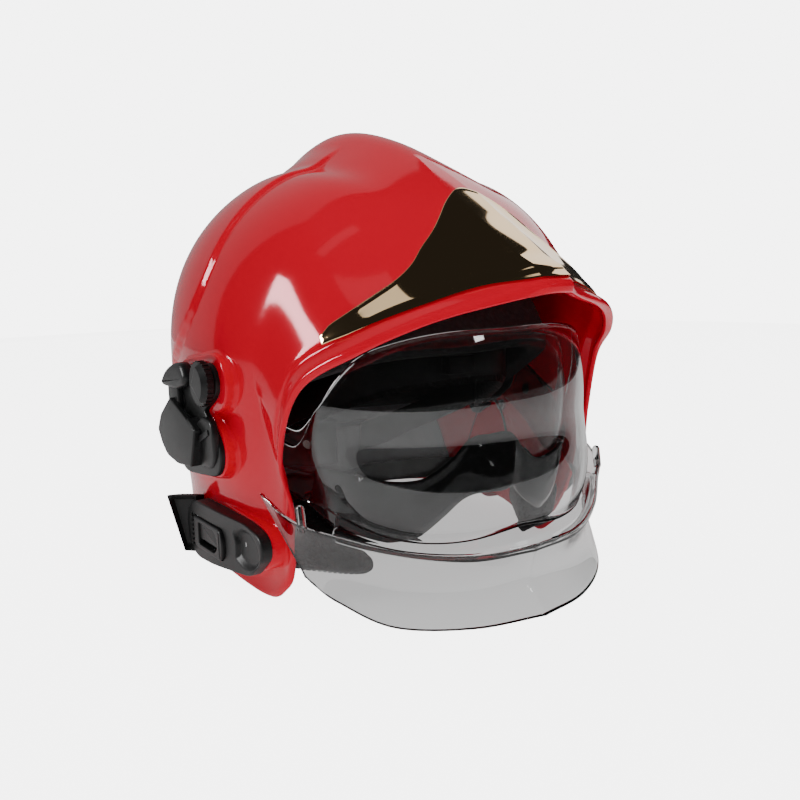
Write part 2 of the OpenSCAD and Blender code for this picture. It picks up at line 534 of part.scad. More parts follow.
module blank_cap() {
  color([0.72, 0.02, 0.04]) translate([SW, 0, 0]) difference() {
    seat(LAMP_X, LAMP_X + 5.5, 2.5);
    for (p = LAMP_S) rod(110, LAMP_X + 4.6, p[0], p[1], 2, $fn = 16);
  }
}

// Mask anchors, one on each side low at the front
module anchor_left() {
  color([0.04, 0.04, 0.04]) translate([SW, 0, 0]) difference() {
    hull() {
      rod(ANC_X, 119.6, -66, -78, 9);
      rod(ANC_X, 119.6, -52, -82, 15);
      rod(ANC_X, 122, -12, -84.5, 17);
      rod(ANC_X, 122, 6, -85, 17.5);
    }
    translate([116, -31.5, -95.5]) cube([20, 45, 19.5]);
    translate([116, 12, -95.5]) cube([20, 20, 19.5]);
    difference() {
      hull() {
        rod(117.2, 130, -64, -79, 6);
        rod(118.6, 130, -48, -82, 11);
      }
      rod(110, 130, -33, -83, 10);
    }
    for (p = ANC_S) rod(100, 117.6, p[0], p[1], 2, $fn = 16);
    translate([120, 7, -130]) cylinder(h = 100, r = 1.5, $fn = 20);
  }
}
module anchor_right() {
  mirror([1, 0, 0]) anchor_left();
}
module funnel_left() {
  color([0.04, 0.04, 0.04]) translate([SW, 0, 0]) difference() {
    hull() {
      translate([ANC_X, 23.8, -103]) cube([9, 2.2, 36]);
      translate([130, 32, -70]) cube([2, 2.5, 3]);
      translate([125.5, 31, -99]) cube([2, 2.5, 3]);
    }
    translate([116.1, 10, -94]) cube([6, 30, 17]);
  }
}
module funnel_right() {
  mirror([1, 0, 0]) funnel_left();
}
module latch_left() {
  color([0.05, 0.05, 0.05]) translate([SW, 0, 0]) difference() {
    union() {
      translate([119.4, -30, -95]) cube([3.4, 37, 18.5]);
      translate([120, 7, -95]) cylinder(h = 18.5, r = 2.9, $fn = 24);
      translate([122.6, -29, -94]) cube([0.9, 3, 16.5]);
    }
    translate([110, -21, -90.5]) cube([30, 21, 10]);
    translate([120, 7, -130]) cylinder(h = 100, r = 1.5 + run, $fn = 20);
  }
}
module latch_right() {
  mirror([1, 0, 0]) latch_left();
}
module latch_pins() {
  color([0.6, 0.6, 0.62]) sides() translate([120, 7, -98]) cylinder(h = 24, r = 1.5, $fn = 20);
}
module latch_springs() {
  color([0.55, 0.55, 0.57]) sides() {
    translate([116.05, -25, -93.5]) cube([0.45, 22, 3]);
    translate([116.6, -6, -93.5]) cylinder(h = 3, r = 0.5, $fn = 16);
  }
}

// Size adjuster at the nape: a dial and pinion between two racks
AY = 96.2;
AZ = -66;
module dial_housing() {
  color([0.05, 0.05, 0.05]) difference() {
    union() {
      translate([-27, 94.6, AZ - 15]) cube([54, 8.4, 30]);
      translate([0, 102.9, AZ]) rotate([-90, 0, 0]) cylinder(h = 1.2, r = 8);
      both() translate([12, 100.3, AZ + 14]) cube([10, 2.6, 14]);
    }
    translate([-30, 95.1, AZ - 12.1]) cube([60, 2.6, 24.2]);
    translate([0, 90, AZ]) rotate([-90, 0, 0]) cylinder(h = 30, r = 3 + run);
  }
}
module dial_pinion() {
  n = 12;
  P = [for (i = [0:n - 1]) each let (a = i * 30) [[4.7 * cos(a - 8), 4.7 * sin(a - 8)],
    [6.9 * cos(a - 3.2), 6.9 * sin(a - 3.2)], [6.9 * cos(a + 3.2), 6.9 * sin(a + 3.2)],
    [4.7 * cos(a + 8), 4.7 * sin(a + 8)]]];
  color([0.75, 0.75, 0.72]) translate([0, AY - 0.9, AZ]) rotate([-90, 0, 0]) {
    linear_extrude(2) polygon(P);
    cylinder(h = 9.4, r = 3);
  }
}
module dial_knob() {
  color([0.03, 0.03, 0.03]) difference() {
    union() {
      translate([0, 104.4, AZ]) rotate([-90, 0, 0]) cylinder(h = 8, r = dial_r - 1.2);
      translate([0, 104.4, AZ]) rotate([-90, 0, 0]) for (i = [0:15]) rotate([0, 0, i * 22.5])
        translate([dial_r - 2, -1.2, 0.8]) cube([2, 2.4, 6.4]);
    }
    translate([0, 100, AZ]) rotate([-90, 0, 0]) cylinder(h = 4.9, r = 3);
  }
}
// Flat rack with its teeth towards the pinion
module rack() {
  color([0.07, 0.07, 0.07]) {
    translate([-12, 95.4, 7.4]) cube([66, 1.6, 4.2]);
    for (i = [-3:5]) translate([(i + 0.5) * PI, 95.4, 7.5]) rotate([-90, 0, 0])
      linear_extrude(1.6) polygon([[-0.85, 0], [-0.3, 2.3], [0.3, 2.3], [0.85, 0]]);
  }
}
module rack_left() {
  translate([0, 0, AZ]) rack();
}
module rack_right() {
  translate([0, 0, AZ]) mirror([1, 0, 0]) mirror([0, 0, 1]) rack();
}

// Chin strap, stowed round the inside of the nape
SP = [[98.5, STR_Y - 12, STR_Z], [97.8, STR_Y, STR_Z], [95, 56, -90], [82, 82, -95], [58, 99, -99],
  [34, 106, -101], [16, 108, -101.5]];
module strap_left() {
  h = web_w / 2;
  K = [for (i = [0:18]) i / 3];
  function sp(u, z, off) = let (a = path(SP, u), p = [a[0] * (98.5 + SW) / 98.5, a[1], a[2]],
      q = [p[0], p[1] - 20], n = q / norm(q))
    [p[0] - n[0] * off, p[1] - n[1] * off, p[2] + z];
  color([0.05, 0.05, 0.05]) difference() {
    slab([for (z = [-h + 1.5, h - 1.5]) [for (u = K) sp(u, z, 0)]],
      [for (z = [-h + 1.5, h - 1.5]) [for (u = K) sp(u, z, 1.8)]]);
    rod(80, 130, STR_Y, STR_Z, 2.1, $fn = 16);
  }
}
module strap_right() {
  mirror([1, 0, 0]) strap_left();
}
module strap_buckle() {
  color([0.04, 0.04, 0.04]) difference() {
    hull() {
      translate([-20, 105, -112]) cube([40, 5, 21]);
      translate([-16, 103.5, -110]) cube([32, 8, 17]);
    }
    both() translate([12, 105.6, -110.8]) cube([20, 3, 19]);
    translate([-5, 100, -106]) cube([10, 20, 3]);
  }
}
module strap_plates() {
  color([0.5, 0.5, 0.52]) sides() {
    rod(98.9, 106.3, STR_Y, STR_Z, 2, $fn = 16);
    rod(94, 95.3, STR_Y, STR_Z, 6, $fn = 24);
    rod(95, 99, STR_Y, STR_Z, 2, $fn = 16);
    rod(99, 101, STR_Y, STR_Z, 6.5, $fn = 24);
  }
}

// Origin at the middle of the box on the plane the helmet stands on
translate(ORG) {
  outer_shell();
  frontal_plate();
  impact_liner();
  crown_cradle();
  cradle_clips();
  brow_pad();
  cheek_pad_left();
  cheek_pad_right();
  neck_lining();
  headband();
  carrier_left();
  carrier_right();
  hinge_studs();
  hinge_washers();
  carrier_screws();
  face_shield();
  edge_stops();
  eye_shield();
  nose_guard();
  guard_rivets();
  lamp_base();
  lamp_arm();
  lamp_knob();
  lamp_bolt();
  lamp_pin();
  fitting_screws();
  blank_cap();
  anchor_left();
  anchor_right();
  funnel_left();
  funnel_right();
  latch_left();
  latch_right();
  latch_pins();
  latch_springs();
  dial_housing();
  dial_knob();
  dial_pinion();
  rack_left();
  rack_right();
  strap_left();
  strap_right();
  strap_buckle();
  strap_plates();
}
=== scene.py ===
"""Fire helmet: looks of every piece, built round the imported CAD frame."""
import math

import bmesh
import bpy
import numpy as np
from mathutils import Matrix, Vector
from mathutils.bvhtree import BVHTree
from mathutils.kdtree import KDTree


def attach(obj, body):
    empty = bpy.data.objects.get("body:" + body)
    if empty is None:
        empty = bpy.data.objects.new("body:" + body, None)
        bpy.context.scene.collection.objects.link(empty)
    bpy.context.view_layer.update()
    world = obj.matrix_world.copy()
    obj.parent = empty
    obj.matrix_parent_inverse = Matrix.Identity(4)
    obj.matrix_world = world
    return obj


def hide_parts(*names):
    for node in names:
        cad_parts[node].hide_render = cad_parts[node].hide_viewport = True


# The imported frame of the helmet. All drawing sizes below are millimetres from a point in the
# middle of the head, and HEAD moves them onto the plane the helmet stands on.
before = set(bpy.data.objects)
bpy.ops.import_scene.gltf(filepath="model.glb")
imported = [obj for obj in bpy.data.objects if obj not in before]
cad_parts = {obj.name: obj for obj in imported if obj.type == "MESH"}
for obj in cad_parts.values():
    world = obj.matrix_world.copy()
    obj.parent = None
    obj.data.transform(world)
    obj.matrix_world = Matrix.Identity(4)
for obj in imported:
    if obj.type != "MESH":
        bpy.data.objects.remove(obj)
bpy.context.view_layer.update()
HEAD = np.array([0.0, 18.833, 114.6])
FLOOR = -HEAD[2]
scene = bpy.context.scene


def framed(points):
    """Drawing points in millimetres as frame points in metres."""
    return (np.asarray(points, float) + HEAD) / 1000


def shown(name, data):
    """Object in the scene for a mesh, a lamp or a camera."""
    made = bpy.data.objects.new(name, data)
    scene.collection.objects.link(made)
    return made


def modify(piece, kind, **settings):
    """Adds a modifier to a piece and sets it."""
    made = piece.modifiers.new(kind.lower(), kind)
    for key, value in settings.items():
        setattr(made, key, value)
    return made


def solved(piece):
    """New mesh of a piece, with its modifiers applied."""
    graph = bpy.context.evaluated_depsgraph_get()
    return bpy.data.meshes.new_from_object(piece.evaluated_get(graph))


def dressed(mesh, material, crease=None):
    """Smooth mesh in one material, with edges sharp above an angle where it is given."""
    mesh.materials.clear()
    mesh.materials.append(material)
    mesh.shade_smooth()
    if crease:
        mesh.set_sharp_from_angle(angle=math.radians(crease))
    return mesh


def keep(piece, slot=None, *nodes, body="shell"):
    """Hands a piece to its body and hides the CAD nodes it stands for; the slot for its finish is not used."""
    if nodes:
        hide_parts(*nodes)
    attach(piece, body)
    return piece


# Node trees are wired by name. A tree's own sockets are those of its nodes into and out.
SOCKETS = {"Geometry": "NodeSocketGeometry", "Material": "NodeSocketMaterial", "Piece": "NodeSocketObject",
           "Size": "NodeSocketVector", "Normal": "NodeSocketVector", "Count": "NodeSocketInt"}


def new_tree(name, inputs, outputs, kind="ShaderNodeTree"):
    """Node group with named inputs and their values; a socket not in SOCKETS is a float."""
    group = bpy.data.node_groups.new(name, kind)
    for title, value in inputs.items():
        socket = SOCKETS.get(title, "NodeSocketFloat")
        made = group.interface.new_socket(title, in_out="INPUT", socket_type=socket)
        if value is not None:
            made.default_value = value
    for title in outputs:
        socket = SOCKETS.get(title, "NodeSocketFloat")
        group.interface.new_socket(title, in_out="OUTPUT", socket_type=socket)
    group.nodes.new("NodeGroupInput").name = "into"
    group.nodes.new("NodeGroupOutput").name = "out"
    return group


def node(tree, name, kind, **values):
    """Named node of a tree, with sockets or settings given by keyword."""
    made = tree.nodes.new(kind)
    made.name = name
    for key, value in values.items():
        title = key.replace("_", " ")
        if title in made.inputs:
            made.inputs[title].default_value = value
        else:
            setattr(made, key, value)
    return made


def wire(tree, plan):
    """Links nodes by a plan that lists outputs and inputs in turn, each as node.socket."""
    ends = []
    for end in plan.split():
        name, socket = end.split(".")
        side = tree.nodes[name].inputs if len(ends) % 2 else tree.nodes[name].outputs
        ends.append(side[int(socket) if socket.isdigit() else socket.replace("_", " ")])
    for source, target in zip(ends[::2], ends[1::2]):
        tree.links.new(source, target)


def ramp(tree, name, low, high):
    """Ramp between two colours."""
    stops = node(tree, name, "ShaderNodeValToRGB").color_ramp.elements
    stops[0].color = (*low, 1.0)
    stops[1].color = (*high, 1.0)


def principled(name, **sockets):
    """Material with one Principled shader whose sockets are set by keyword."""
    material = bpy.data.materials.new(name)
    material.use_nodes = True
    shader = material.node_tree.nodes["Principled BSDF"]
    shader.name = "shader"
    for socket, value in sockets.items():
        value = (*value, 1.0) if isinstance(value, tuple) else value
        shader.inputs[socket.replace("_", " ")].default_value = value
    return material


def add_group(tree, name, group, **values):
    """Places a shader group in a tree and sets its inputs."""
    made = node(tree, name, "ShaderNodeGroup")
    made.node_tree = group
    for key, value in values.items():
        made.inputs[key].default_value = value


grain_group = new_tree("moulded_grain", {"Scale": 900.0, "Depth": 0.2, "Height": 0.0004}, ("Normal",))
node(grain_group, "place", "ShaderNodeTexCoord")
node(grain_group, "fine", "ShaderNodeTexNoise", Detail=3.0, Roughness=0.55)
node(grain_group, "bump", "ShaderNodeBump")
wire(grain_group, "place.Object fine.Vector  into.Scale fine.Scale  into.Depth bump.Strength "
                  "into.Height bump.Distance  fine.Fac bump.Height  bump.Normal out.Normal")

handling_group = new_tree("handling_marks", {"Roughness": 0.3, "Spread": 0.1, "Scale": 14.0}, ("Roughness",))
node(handling_group, "place", "ShaderNodeTexCoord")
node(handling_group, "cloud", "ShaderNodeTexNoise", Detail=6.0, Roughness=0.6)
node(handling_group, "span", "ShaderNodeMath", operation="SUBTRACT").inputs[1].default_value = 0.5
node(handling_group, "gain", "ShaderNodeMath", operation="MULTIPLY_ADD")
wire(handling_group, "place.Object cloud.Vector  into.Scale cloud.Scale  cloud.Fac span.0  span.0 gain.0 "
                     "into.Spread gain.1  into.Roughness gain.2  gain.0 out.Roughness")

weave_group = new_tree("woven_cloth", {"Threads": 900.0, "Depth": 0.4}, ("Normal", "Mask"))
node(weave_group, "place", "ShaderNodeTexCoord")
for way in ("X", "Y"):
    node(weave_group, way, "ShaderNodeTexWave", wave_type="BANDS", bands_direction=way, Distortion=0.6)
    wire(weave_group, f"place.UV {way}.Vector  into.Threads {way}.Scale")
node(weave_group, "crossed", "ShaderNodeMath", operation="MULTIPLY")
node(weave_group, "bump", "ShaderNodeBump", Distance=0.0003)
wire(weave_group, "X.Fac crossed.0  Y.Fac crossed.1  into.Depth bump.Strength  crossed.0 bump.Height "
                  "bump.Normal out.Normal  crossed.0 out.Mask")


def paint(name, marks=None, grain=None, **sockets):
    """Principled material; marks are roughness, spread and scale, grain scale, depth and height."""
    if marks:
        sockets["Roughness"] = marks[0]
    material = principled(name, **sockets)
    tree = material.node_tree
    if marks:
        add_group(tree, "marks", handling_group, Roughness=marks[0], Spread=marks[1], Scale=marks[2])
        wire(tree, "marks.Roughness shader.Roughness")
    if grain:
        add_group(tree, "grain", grain_group, Scale=grain[0], Depth=grain[1], Height=grain[2])
        wire(tree, "grain.Normal shader.Normal")
    return material


def cloth_paint(name, dark, light, threads, depth, sheen):
    """Woven cloth whose threads differ a little in colour."""
    material = principled(name, Roughness=0.85, Sheen_Weight=sheen, Sheen_Roughness=0.5)
    tree = material.node_tree
    add_group(tree, "weave", weave_group, Threads=threads, Depth=depth)
    ramp(tree, "threads", dark, light)
    wire(tree, "weave.Mask threads.Fac  threads.Color shader.Base_Color  weave.Normal shader.Normal")
    return material


def clear_plastic(name, colour):
    """Clear polycarbonate that lets lamp light through to what lies behind it."""
    material = principled(name, Base_Color=colour, Roughness=0.0, IOR=1.585, Transmission_Weight=1.0)
    tree = material.node_tree
    node(tree, "rays", "ShaderNodeLightPath")
    node(tree, "either", "ShaderNodeMath", operation="MAXIMUM")
    opaque = node(tree, "opaque", "ShaderNodeMath", operation="MULTIPLY_ADD")
    opaque.inputs[1].default_value = -0.9
    opaque.inputs[2].default_value = 1.0
    wire(tree, "rays.Is_Shadow_Ray either.0  rays.Is_Diffuse_Ray either.1  either.0 opaque.0 "
               "opaque.0 shader.Alpha")
    return material


red_gloss = paint("red_gloss", (0.085, 0.05, 9.0), (55.0, 0.12, 0.0006), Base_Color=(0.78, 0.002, 0.024),
                  Specular_IOR_Level=0.38, Specular_Tint=(1.0, 0.4, 0.46), Coat_Weight=0.04,
                  Coat_Roughness=0.02, Coat_IOR=1.5)
gilt = paint("gilt", (0.055, 0.05, 22.0), Base_Color=(0.86, 0.61, 0.34), Metallic=1.0)
black_satin = paint("black_satin", (0.42, 0.14, 30.0), (1500.0, 0.22, 0.00025),
                    Base_Color=(0.006, 0.006, 0.0063), Specular_IOR_Level=0.34)
black_gloss = paint("black_gloss", (0.08, 0.05, 16.0), Base_Color=(0.006, 0.006, 0.0065), Coat_Weight=0.4,
                    Coat_Roughness=0.02)
thread_black = paint("sewing_thread", None, (4000.0, 0.5, 0.0001), Base_Color=(0.03, 0.03, 0.031),
                     Roughness=0.6)
steel = paint("steel", (0.28, 0.15, 60.0), Base_Color=(0.56, 0.57, 0.58), Metallic=1.0)
acetal = paint("acetal", None, (1200.0, 0.15, 0.0002), Base_Color=(0.76, 0.75, 0.7), Roughness=0.42)
lining_cloth = cloth_paint("lining_cloth", (0.2, 0.205, 0.215), (0.42, 0.43, 0.445), 420.0, 0.5, 0.3)
webbing = cloth_paint("webbing_black", (0.006, 0.006, 0.0065), (0.03, 0.03, 0.031), 700.0, 0.8, 0.15)
clear_lens = clear_plastic("clear_lens", (0.52, 0.525, 0.525))
clear_eye = clear_plastic("clear_eye", (0.86, 0.865, 0.865))

foam = principled("liner_foam", Roughness=0.8)
node(foam.node_tree, "place", "ShaderNodeTexCoord")
node(foam.node_tree, "beads", "ShaderNodeTexVoronoi", Scale=420.0)
node(foam.node_tree, "bump", "ShaderNodeBump", Strength=0.5, Distance=0.0006)
ramp(foam.node_tree, "shade", (0.02, 0.02, 0.021), (0.009, 0.009, 0.01))
wire(foam.node_tree, "place.Object beads.Vector  beads.Distance bump.Height  beads.Distance shade.Fac "
                     "bump.Normal shader.Normal  shade.Color shader.Base_Color")

pad_leather = paint("pad_leather", (0.42, 0.25, 24.0), Specular_IOR_Level=0.2)
hide = pad_leather.node_tree
node(hide, "place", "ShaderNodeTexCoord")
node(hide, "pebbles", "ShaderNodeTexVoronoi", feature="SMOOTH_F1", Scale=520.0, Randomness=1.0)
node(hide, "folds", "ShaderNodeTexNoise", Scale=70.0, Detail=4.0, Distortion=0.8)
node(hide, "pebble_bump", "ShaderNodeBump", Strength=0.9, Distance=0.0012)
node(hide, "fold_bump", "ShaderNodeBump", Strength=0.5, Distance=0.0012)
ramp(hide, "shade", (0.01, 0.0095, 0.009), (0.0035, 0.0035, 0.0035))
wire(hide, "place.Object pebbles.Vector  place.Object folds.Vector  folds.Fac fold_bump.Height "
           "pebbles.Distance pebble_bump.Height  fold_bump.Normal pebble_bump.Normal "
           "pebbles.Distance shade.Fac  shade.Color shader.Base_Color  pebble_bump.Normal shader.Normal")


# The camera looks at the wearer's front right, a little from above,
# with the lens that the symmetry of the shell gives.
look = Vector((0.5571, 0.8116, -0.1757)).normalized()
right = Vector((0.8224, -0.5686, -0.0185)).normalized()
camera_data = bpy.data.cameras.new("camera")
camera_data.lens = 42.09
camera_data.sensor_width = 36.0
camera_data.clip_start = 0.01
camera_data.clip_end = 50.0
scene.camera = shown("camera", camera_data)
axes = Matrix((right, right.cross(look), -look)).transposed().to_4x4()
scene.camera.matrix_world = Matrix.Translation((-0.3250, -0.4868, 0.2016)) @ axes


# The studio: a pale lit table, a large soft lamp overhead, a fill beside the camera, a white
# back wall and four small boxes for highlights. Polished faces see a dim room round them.
def direct_view(tree, camera_value, through_shade_value, other_value, target):
    """Sets a socket for rays straight from the eye, eye rays through clear pieces, and others; the lower value
    through clear pieces is painted shade.
    """
    node(tree, "rays", "ShaderNodeLightPath")
    node(tree, "bounced", "ShaderNodeMath", operation="ADD", use_clamp=True)
    node(tree, "bare_ray", "ShaderNodeMix", A=through_shade_value, B=camera_value)
    node(tree, "seen", "ShaderNodeMix", B=other_value)
    wire(tree, "rays.Glossy_Depth bounced.0  rays.Diffuse_Depth bounced.1  rays.Is_Camera_Ray "
               "bare_ray.Factor  bare_ray.Result seen.A  bounced.0 seen.Factor  seen.Result " + target)


TABLE_R = 1.6
table_paint = principled("table_paint", Roughness=0.75, Emission_Color=(1.0, 1.0, 1.0))
# Seen through the clear pieces the table glows far less than seen straight on: painted shade, standing in for
# the floor shaded under the helmet.
direct_view(table_paint.node_tree, 5.0, 1.2, 0.45, "shader.Emission_Strength")
node(table_paint.node_tree, "tint", "ShaderNodeTexNoise", Scale=3.0, Detail=3.0)
ramp(table_paint.node_tree, "shade", (0.84, 0.84, 0.835), (0.88, 0.88, 0.875))
wire(table_paint.node_tree, "tint.Fac shade.Fac  shade.Color shader.Base_Color")
table_mesh = bpy.data.meshes.new("table")
table_mesh.from_pydata([(TABLE_R * math.cos(a), TABLE_R * math.sin(a), -0.0002)
                        for a in np.linspace(0, 2 * math.pi, 96, endpoint=False)], [], [list(range(96))])
table_mesh.materials.append(table_paint)
shown("table", table_mesh)

room = bpy.data.worlds.new("room")
room.use_nodes = True
scene.world = room
# The room is also dimmer where seen through the clear pieces than straight on: painted shade, as for the
# table.
direct_view(room.node_tree, 5.8, 1.9, 0.022, "Background.Strength")
room.node_tree.nodes["Background"].inputs["Color"].default_value = (1.0, 1.0, 1.0, 1.0)

# Each lamp box: where it is, what it is aimed at, its sides, its brightness and the light it gives.
for name, place, aim, sides, radiance, light in (
        ("overhead_box", (-0.15, -0.25, 1.5), (0.0, 0.0, 0.1), (1.8, 1.8), 1.9, "diffuse"),
        ("camera_fill", (-0.9, -1.35, 0.55), (0.0, 0.0, 0.12), (1.1, 0.9), 1.7, "diffuse"),
        ("back_wall", (0.2, 1.5, 1.6), (0.2, 0.0, 1.6), (2.7, 3.2), 0.38, "all"),
        ("side_window", (-1.5, 0.44, 0.76), (-0.1, 0.0, 0.2), (0.32, 0.66), 48.0, "glossy"),
        ("far_window", (1.26, 0.61, 0.91), (0.0, 0.0, 0.13), (0.8, 1.0), 1.6, "glossy"),
        ("sky_strip", (-0.75, 0.04, 1.6), (0.0, -0.05, 0.2), (0.16, 0.7), 0.9, "glossy"),
        ("front_spot", (0.64, -1.3, 0.81), (0.0, 0.0, 0.13), (0.16, 0.16), 14.0, "glossy")):
    lamp = bpy.data.lights.new(name, "AREA")
    lamp.shape = "RECTANGLE"
    lamp.size, lamp.size_y = sides
    lamp.energy = radiance * math.pi * sides[0] * sides[1]
    box = shown(name, lamp)
    box.location = place
    box.rotation_mode = "QUATERNION"
    box.rotation_quaternion = (Vector(aim) - Vector(place)).to_track_quat("-Z", "Y")
    box.visible_camera = False
    box.visible_diffuse = light != "glossy"
    box.visible_glossy = light != "diffuse"
    box.visible_transmission = light != "diffuse"


# Curves, point nets and solids, shared by all pieces.
def smooth(x):
    x = np.clip(x, 0, 1)
    return x * x * (3 - 2 * x)


def unit(v):
    return v / np.maximum(1e-9, np.linalg.norm(v, axis=-1, keepdims=True))


def catmull(a, b, c, d, t):
    return 0.5 * (2 * b + (c - a) * t + (2 * a - 5 * b + 4 * c - d) * t ** 2
                  + (3 * b - a - 3 * c + d) * t ** 3)


def round_loop(points, t):
    """Smooth closed curve through points; t counts the points."""
    count = len(points)
    i = np.floor(t).astype(int)
    return catmull(points[(i - 1) % count], points[i % count], points[(i + 1) % count],
                   points[(i + 2) % count], (t - i)[..., None])


def open_path(points, t):
    """Smooth open curve through points; t counts the points."""
    whole = np.vstack([2 * points[0] - points[1], points, 2 * points[-1] - points[-2]])
    i = np.clip(np.floor(t).astype(int), 0, len(points) - 2)
    return catmull(whole[i], whole[i + 1], whole[i + 2], whole[i + 3], (t - i)[..., None])


def eased(table_of, a):
    """Cubic curve through a table of (position, value) pairs, level at both ends."""
    at, value = np.asarray(table_of, float).T
    slopes = np.zeros(len(at))
    slopes[1:-1] = (value[2:] - value[:-2]) / (at[2:] - at[:-2])
    i = np.clip(np.searchsorted(at, a, side="right") - 1, 0, len(at) - 2)
    h = at[i + 1] - at[i]
    t = np.clip((a - at[i]) / h, 0, 1)
    return ((2 * t ** 3 - 3 * t ** 2 + 1) * value[i] + (t ** 3 - 2 * t ** 2 + t) * slopes[i] * h
            + (3 * t ** 2 - 2 * t ** 3) * value[i + 1] + (t ** 3 - t ** 2) * slopes[i + 1] * h)


def both_halves(half):
    """Closed loop of points out of its left half and the mirror image."""
    half = np.array(half, float)
    return np.vstack([half, half[-2:0:-1] * [-1, 1, 1]])


def net_faces(rows, cols, closed, first=0):
    """Quads between the rows of a point net; closed joins the last column to the first."""
    j, i = np.meshgrid(np.arange(rows - 1), np.arange(cols if closed else cols - 1), indexing="ij")
    a = first + j * cols + i
    b = first + j * cols + (i + 1) % cols
    return np.stack([a, b, b + cols, a + cols], -1).reshape(-1, 4).tolist()


def capped(rows, cols):
    """Quads between the rows of a tube, and one face over each of its ends."""
    last = (rows - 1) * cols
    ends = [[last + i for i in range(cols)], [cols - 1 - i for i in range(cols)]]
    return net_faces(rows, cols, True) + ends


def looped(rows, cols):
    """Quads between the rows of a tube whose last row joins its first."""
    last = (rows - 1) * cols
    ends = [[last + i, last + (i + 1) % cols, (i + 1) % cols, i] for i in range(cols)]
    return net_faces(rows, cols, True) + ends


def stacked(parts, side=1):
    """Points and faces of several solids as one, mirrored where side is -1."""
    points = []
    faces = []
    count = 0
    for part_points, part_faces in parts:
        faces += [[v + count for v in face] for face in part_faces]
        points.append(np.array(part_points) * [side, 1, 1])
        count += len(part_points)
    return np.vstack(points), faces


def solid(name, points, faces, material, crease=35.0):
    """Mesh object from drawing points, kept above the plane the helmet stands on."""
    points = np.array(points, float)
    points[:, 2] = np.maximum(points[:, 2], FLOOR)
    mesh = bpy.data.meshes.new(name)
    mesh.from_pydata(framed(points).tolist(), [], faces)
    work = bmesh.new()
    work.from_mesh(mesh)
    bmesh.ops.remove_doubles(work, verts=work.verts, dist=1e-6)
    bmesh.ops.dissolve_degenerate(work, edges=work.edges, dist=1e-7)
    bmesh.ops.recalc_face_normals(work, faces=work.faces)
    work.to_mesh(mesh)
    work.free()
    return shown(name, dressed(mesh, material, crease))


def cup(outside, outside_pole, inside, inside_pole):
    """Points and faces of a closed cup out of an outer and an inner net, each with its pole."""
    cols = outside.shape[1]
    first = outside.shape[0] * cols + 1
    points = np.vstack([outside.reshape(-1, 3), outside_pole[None], inside.reshape(-1, 3), inside_pole[None]])
    faces = [[(i + 1) % cols, i, first + i, first + (i + 1) % cols] for i in range(cols)]
    for rows, start in ((outside.shape[0], 0), (inside.shape[0], first)):
        pole = start + rows * cols
        faces += net_faces(rows, cols, True, start)
        faces += [[pole - cols + i, pole - cols + (i + 1) % cols, pole] for i in range(cols)]
    return points, faces


def rounded_slab(name, front, back, material, bulge, crease=35.0):
    """Sheet between two point nets, with its edges rounded over."""
    rows, cols, _ = front.shape
    base = rows * cols
    points = [front.reshape(-1, 3), back.reshape(-1, 3)]
    faces = net_faces(rows, cols, False)
    faces += [face[::-1] for face in net_faces(rows, cols, False, base)]
    ring = [(0, i) for i in range(cols - 1)] + [(j, cols - 1) for j in range(rows - 1)]
    ring += [(rows - 1, i) for i in range(cols - 1, 0, -1)] + [(j, 0) for j in range(rows - 1, 0, -1)]
    j, i = np.array(ring).T
    middle = (front + back) / 2
    outward = np.zeros((len(ring), 3))
    for edge, down, across in ((j == 0, 1, 0), (j == rows - 1, -1, 0), (i == 0, 0, 1),
                               (i == cols - 1, 0, -1)):
        inner = middle[(j + down) % rows, (i + across) % cols]
        outward += edge[:, None] * unit(middle[j, i] - inner)
    outward = unit(outward)
    a = front[j, i]
    b = back[j, i]
    count = len(ring)
    steps = 4
    rings = [j * cols + i]
    for k in range(1, steps):
        turn = math.pi * k / steps
        points.append((a + b) / 2 + (a - b) / 2 * math.cos(turn) + outward * bulge * math.sin(turn))
        rings.append(2 * base + (k - 1) * count + np.arange(count))
    rings.append(base + j * cols + i)
    for low, high in zip(rings[:-1], rings[1:]):
        faces += np.stack([np.roll(low, -1), low, high, np.roll(high, -1)], -1).tolist()
    return solid(name, np.vstack(points), faces, material, crease)


def edge_round(s, radius):
    return radius - np.sqrt(np.maximum(0, radius ** 2 - np.maximum(0, radius - s) ** 2))


# The shell: one injection-moulded red cap with a central crest, two side lobes, a raised
# rear part and a thick rolled lip. Seats for the fittings are moulded on both sides.
SHELL_HW = 118.5
DOME_FRONT = 138.0
DOME_BACK = 134.0
DOME_UP = 117.0
DOME_DOWN = 240.0
SHELL_T = 3.2
LIP_T = 6.2
STEP_H = 2.3
CENTRE = np.array([0.0, 0.0, 15.0])
POLE = np.array([0.0, 0.5, 0.8660254])
FLATNESS = 2.2
RIM = both_halves([
    [0, -168, 56], [28.6, -160, 52], [61.4, -148, 44], [88, -125, 29], [106, -97, 9],
    [111, -85, -28], [105.5, -86, -58], [101, -76, -92], [101, -66, -106], [102, -45, -115.5],
    [111, 0, -107], [107, 45, -103], [85, 90, -107], [45, 118, -114], [0, 125, -116]])
RIM_N = len(RIM)
CREST_LINE = np.array([
    [-110, 181.6], [15.5, 178.4], [22.6, 160.4], [35.3, 140.6], [54.2, 129.5], [78.9, 129.8],
    [106.8, 139.5], [133.7, 143.9], [162, 137.7], [186.3, 136.3], [226.4, 181.1]])


def dome(d):
    forward = np.where(d[..., 1] < 0, DOME_FRONT, DOME_BACK)
    upward = np.where(d[..., 2] > 0, DOME_UP, DOME_DOWN)
    total = (np.abs(d[..., 0]) / SHELL_HW) ** FLATNESS + (np.abs(d[..., 1]) / forward) ** FLATNESS
    return (total + (np.abs(d[..., 2]) / upward) ** FLATNESS) ** (-1 / FLATNESS)


def rim_at(t):
    """Direction and distance of the rim from CENTRE, at rim position t."""
    p = round_loop(RIM, np.asarray(t, float)) - CENTRE
    reach = np.linalg.norm(p, axis=-1)
    return p / reach[..., None], reach


def from_pole(e):
    return np.arccos(np.clip(e @ POLE, -1, 1))


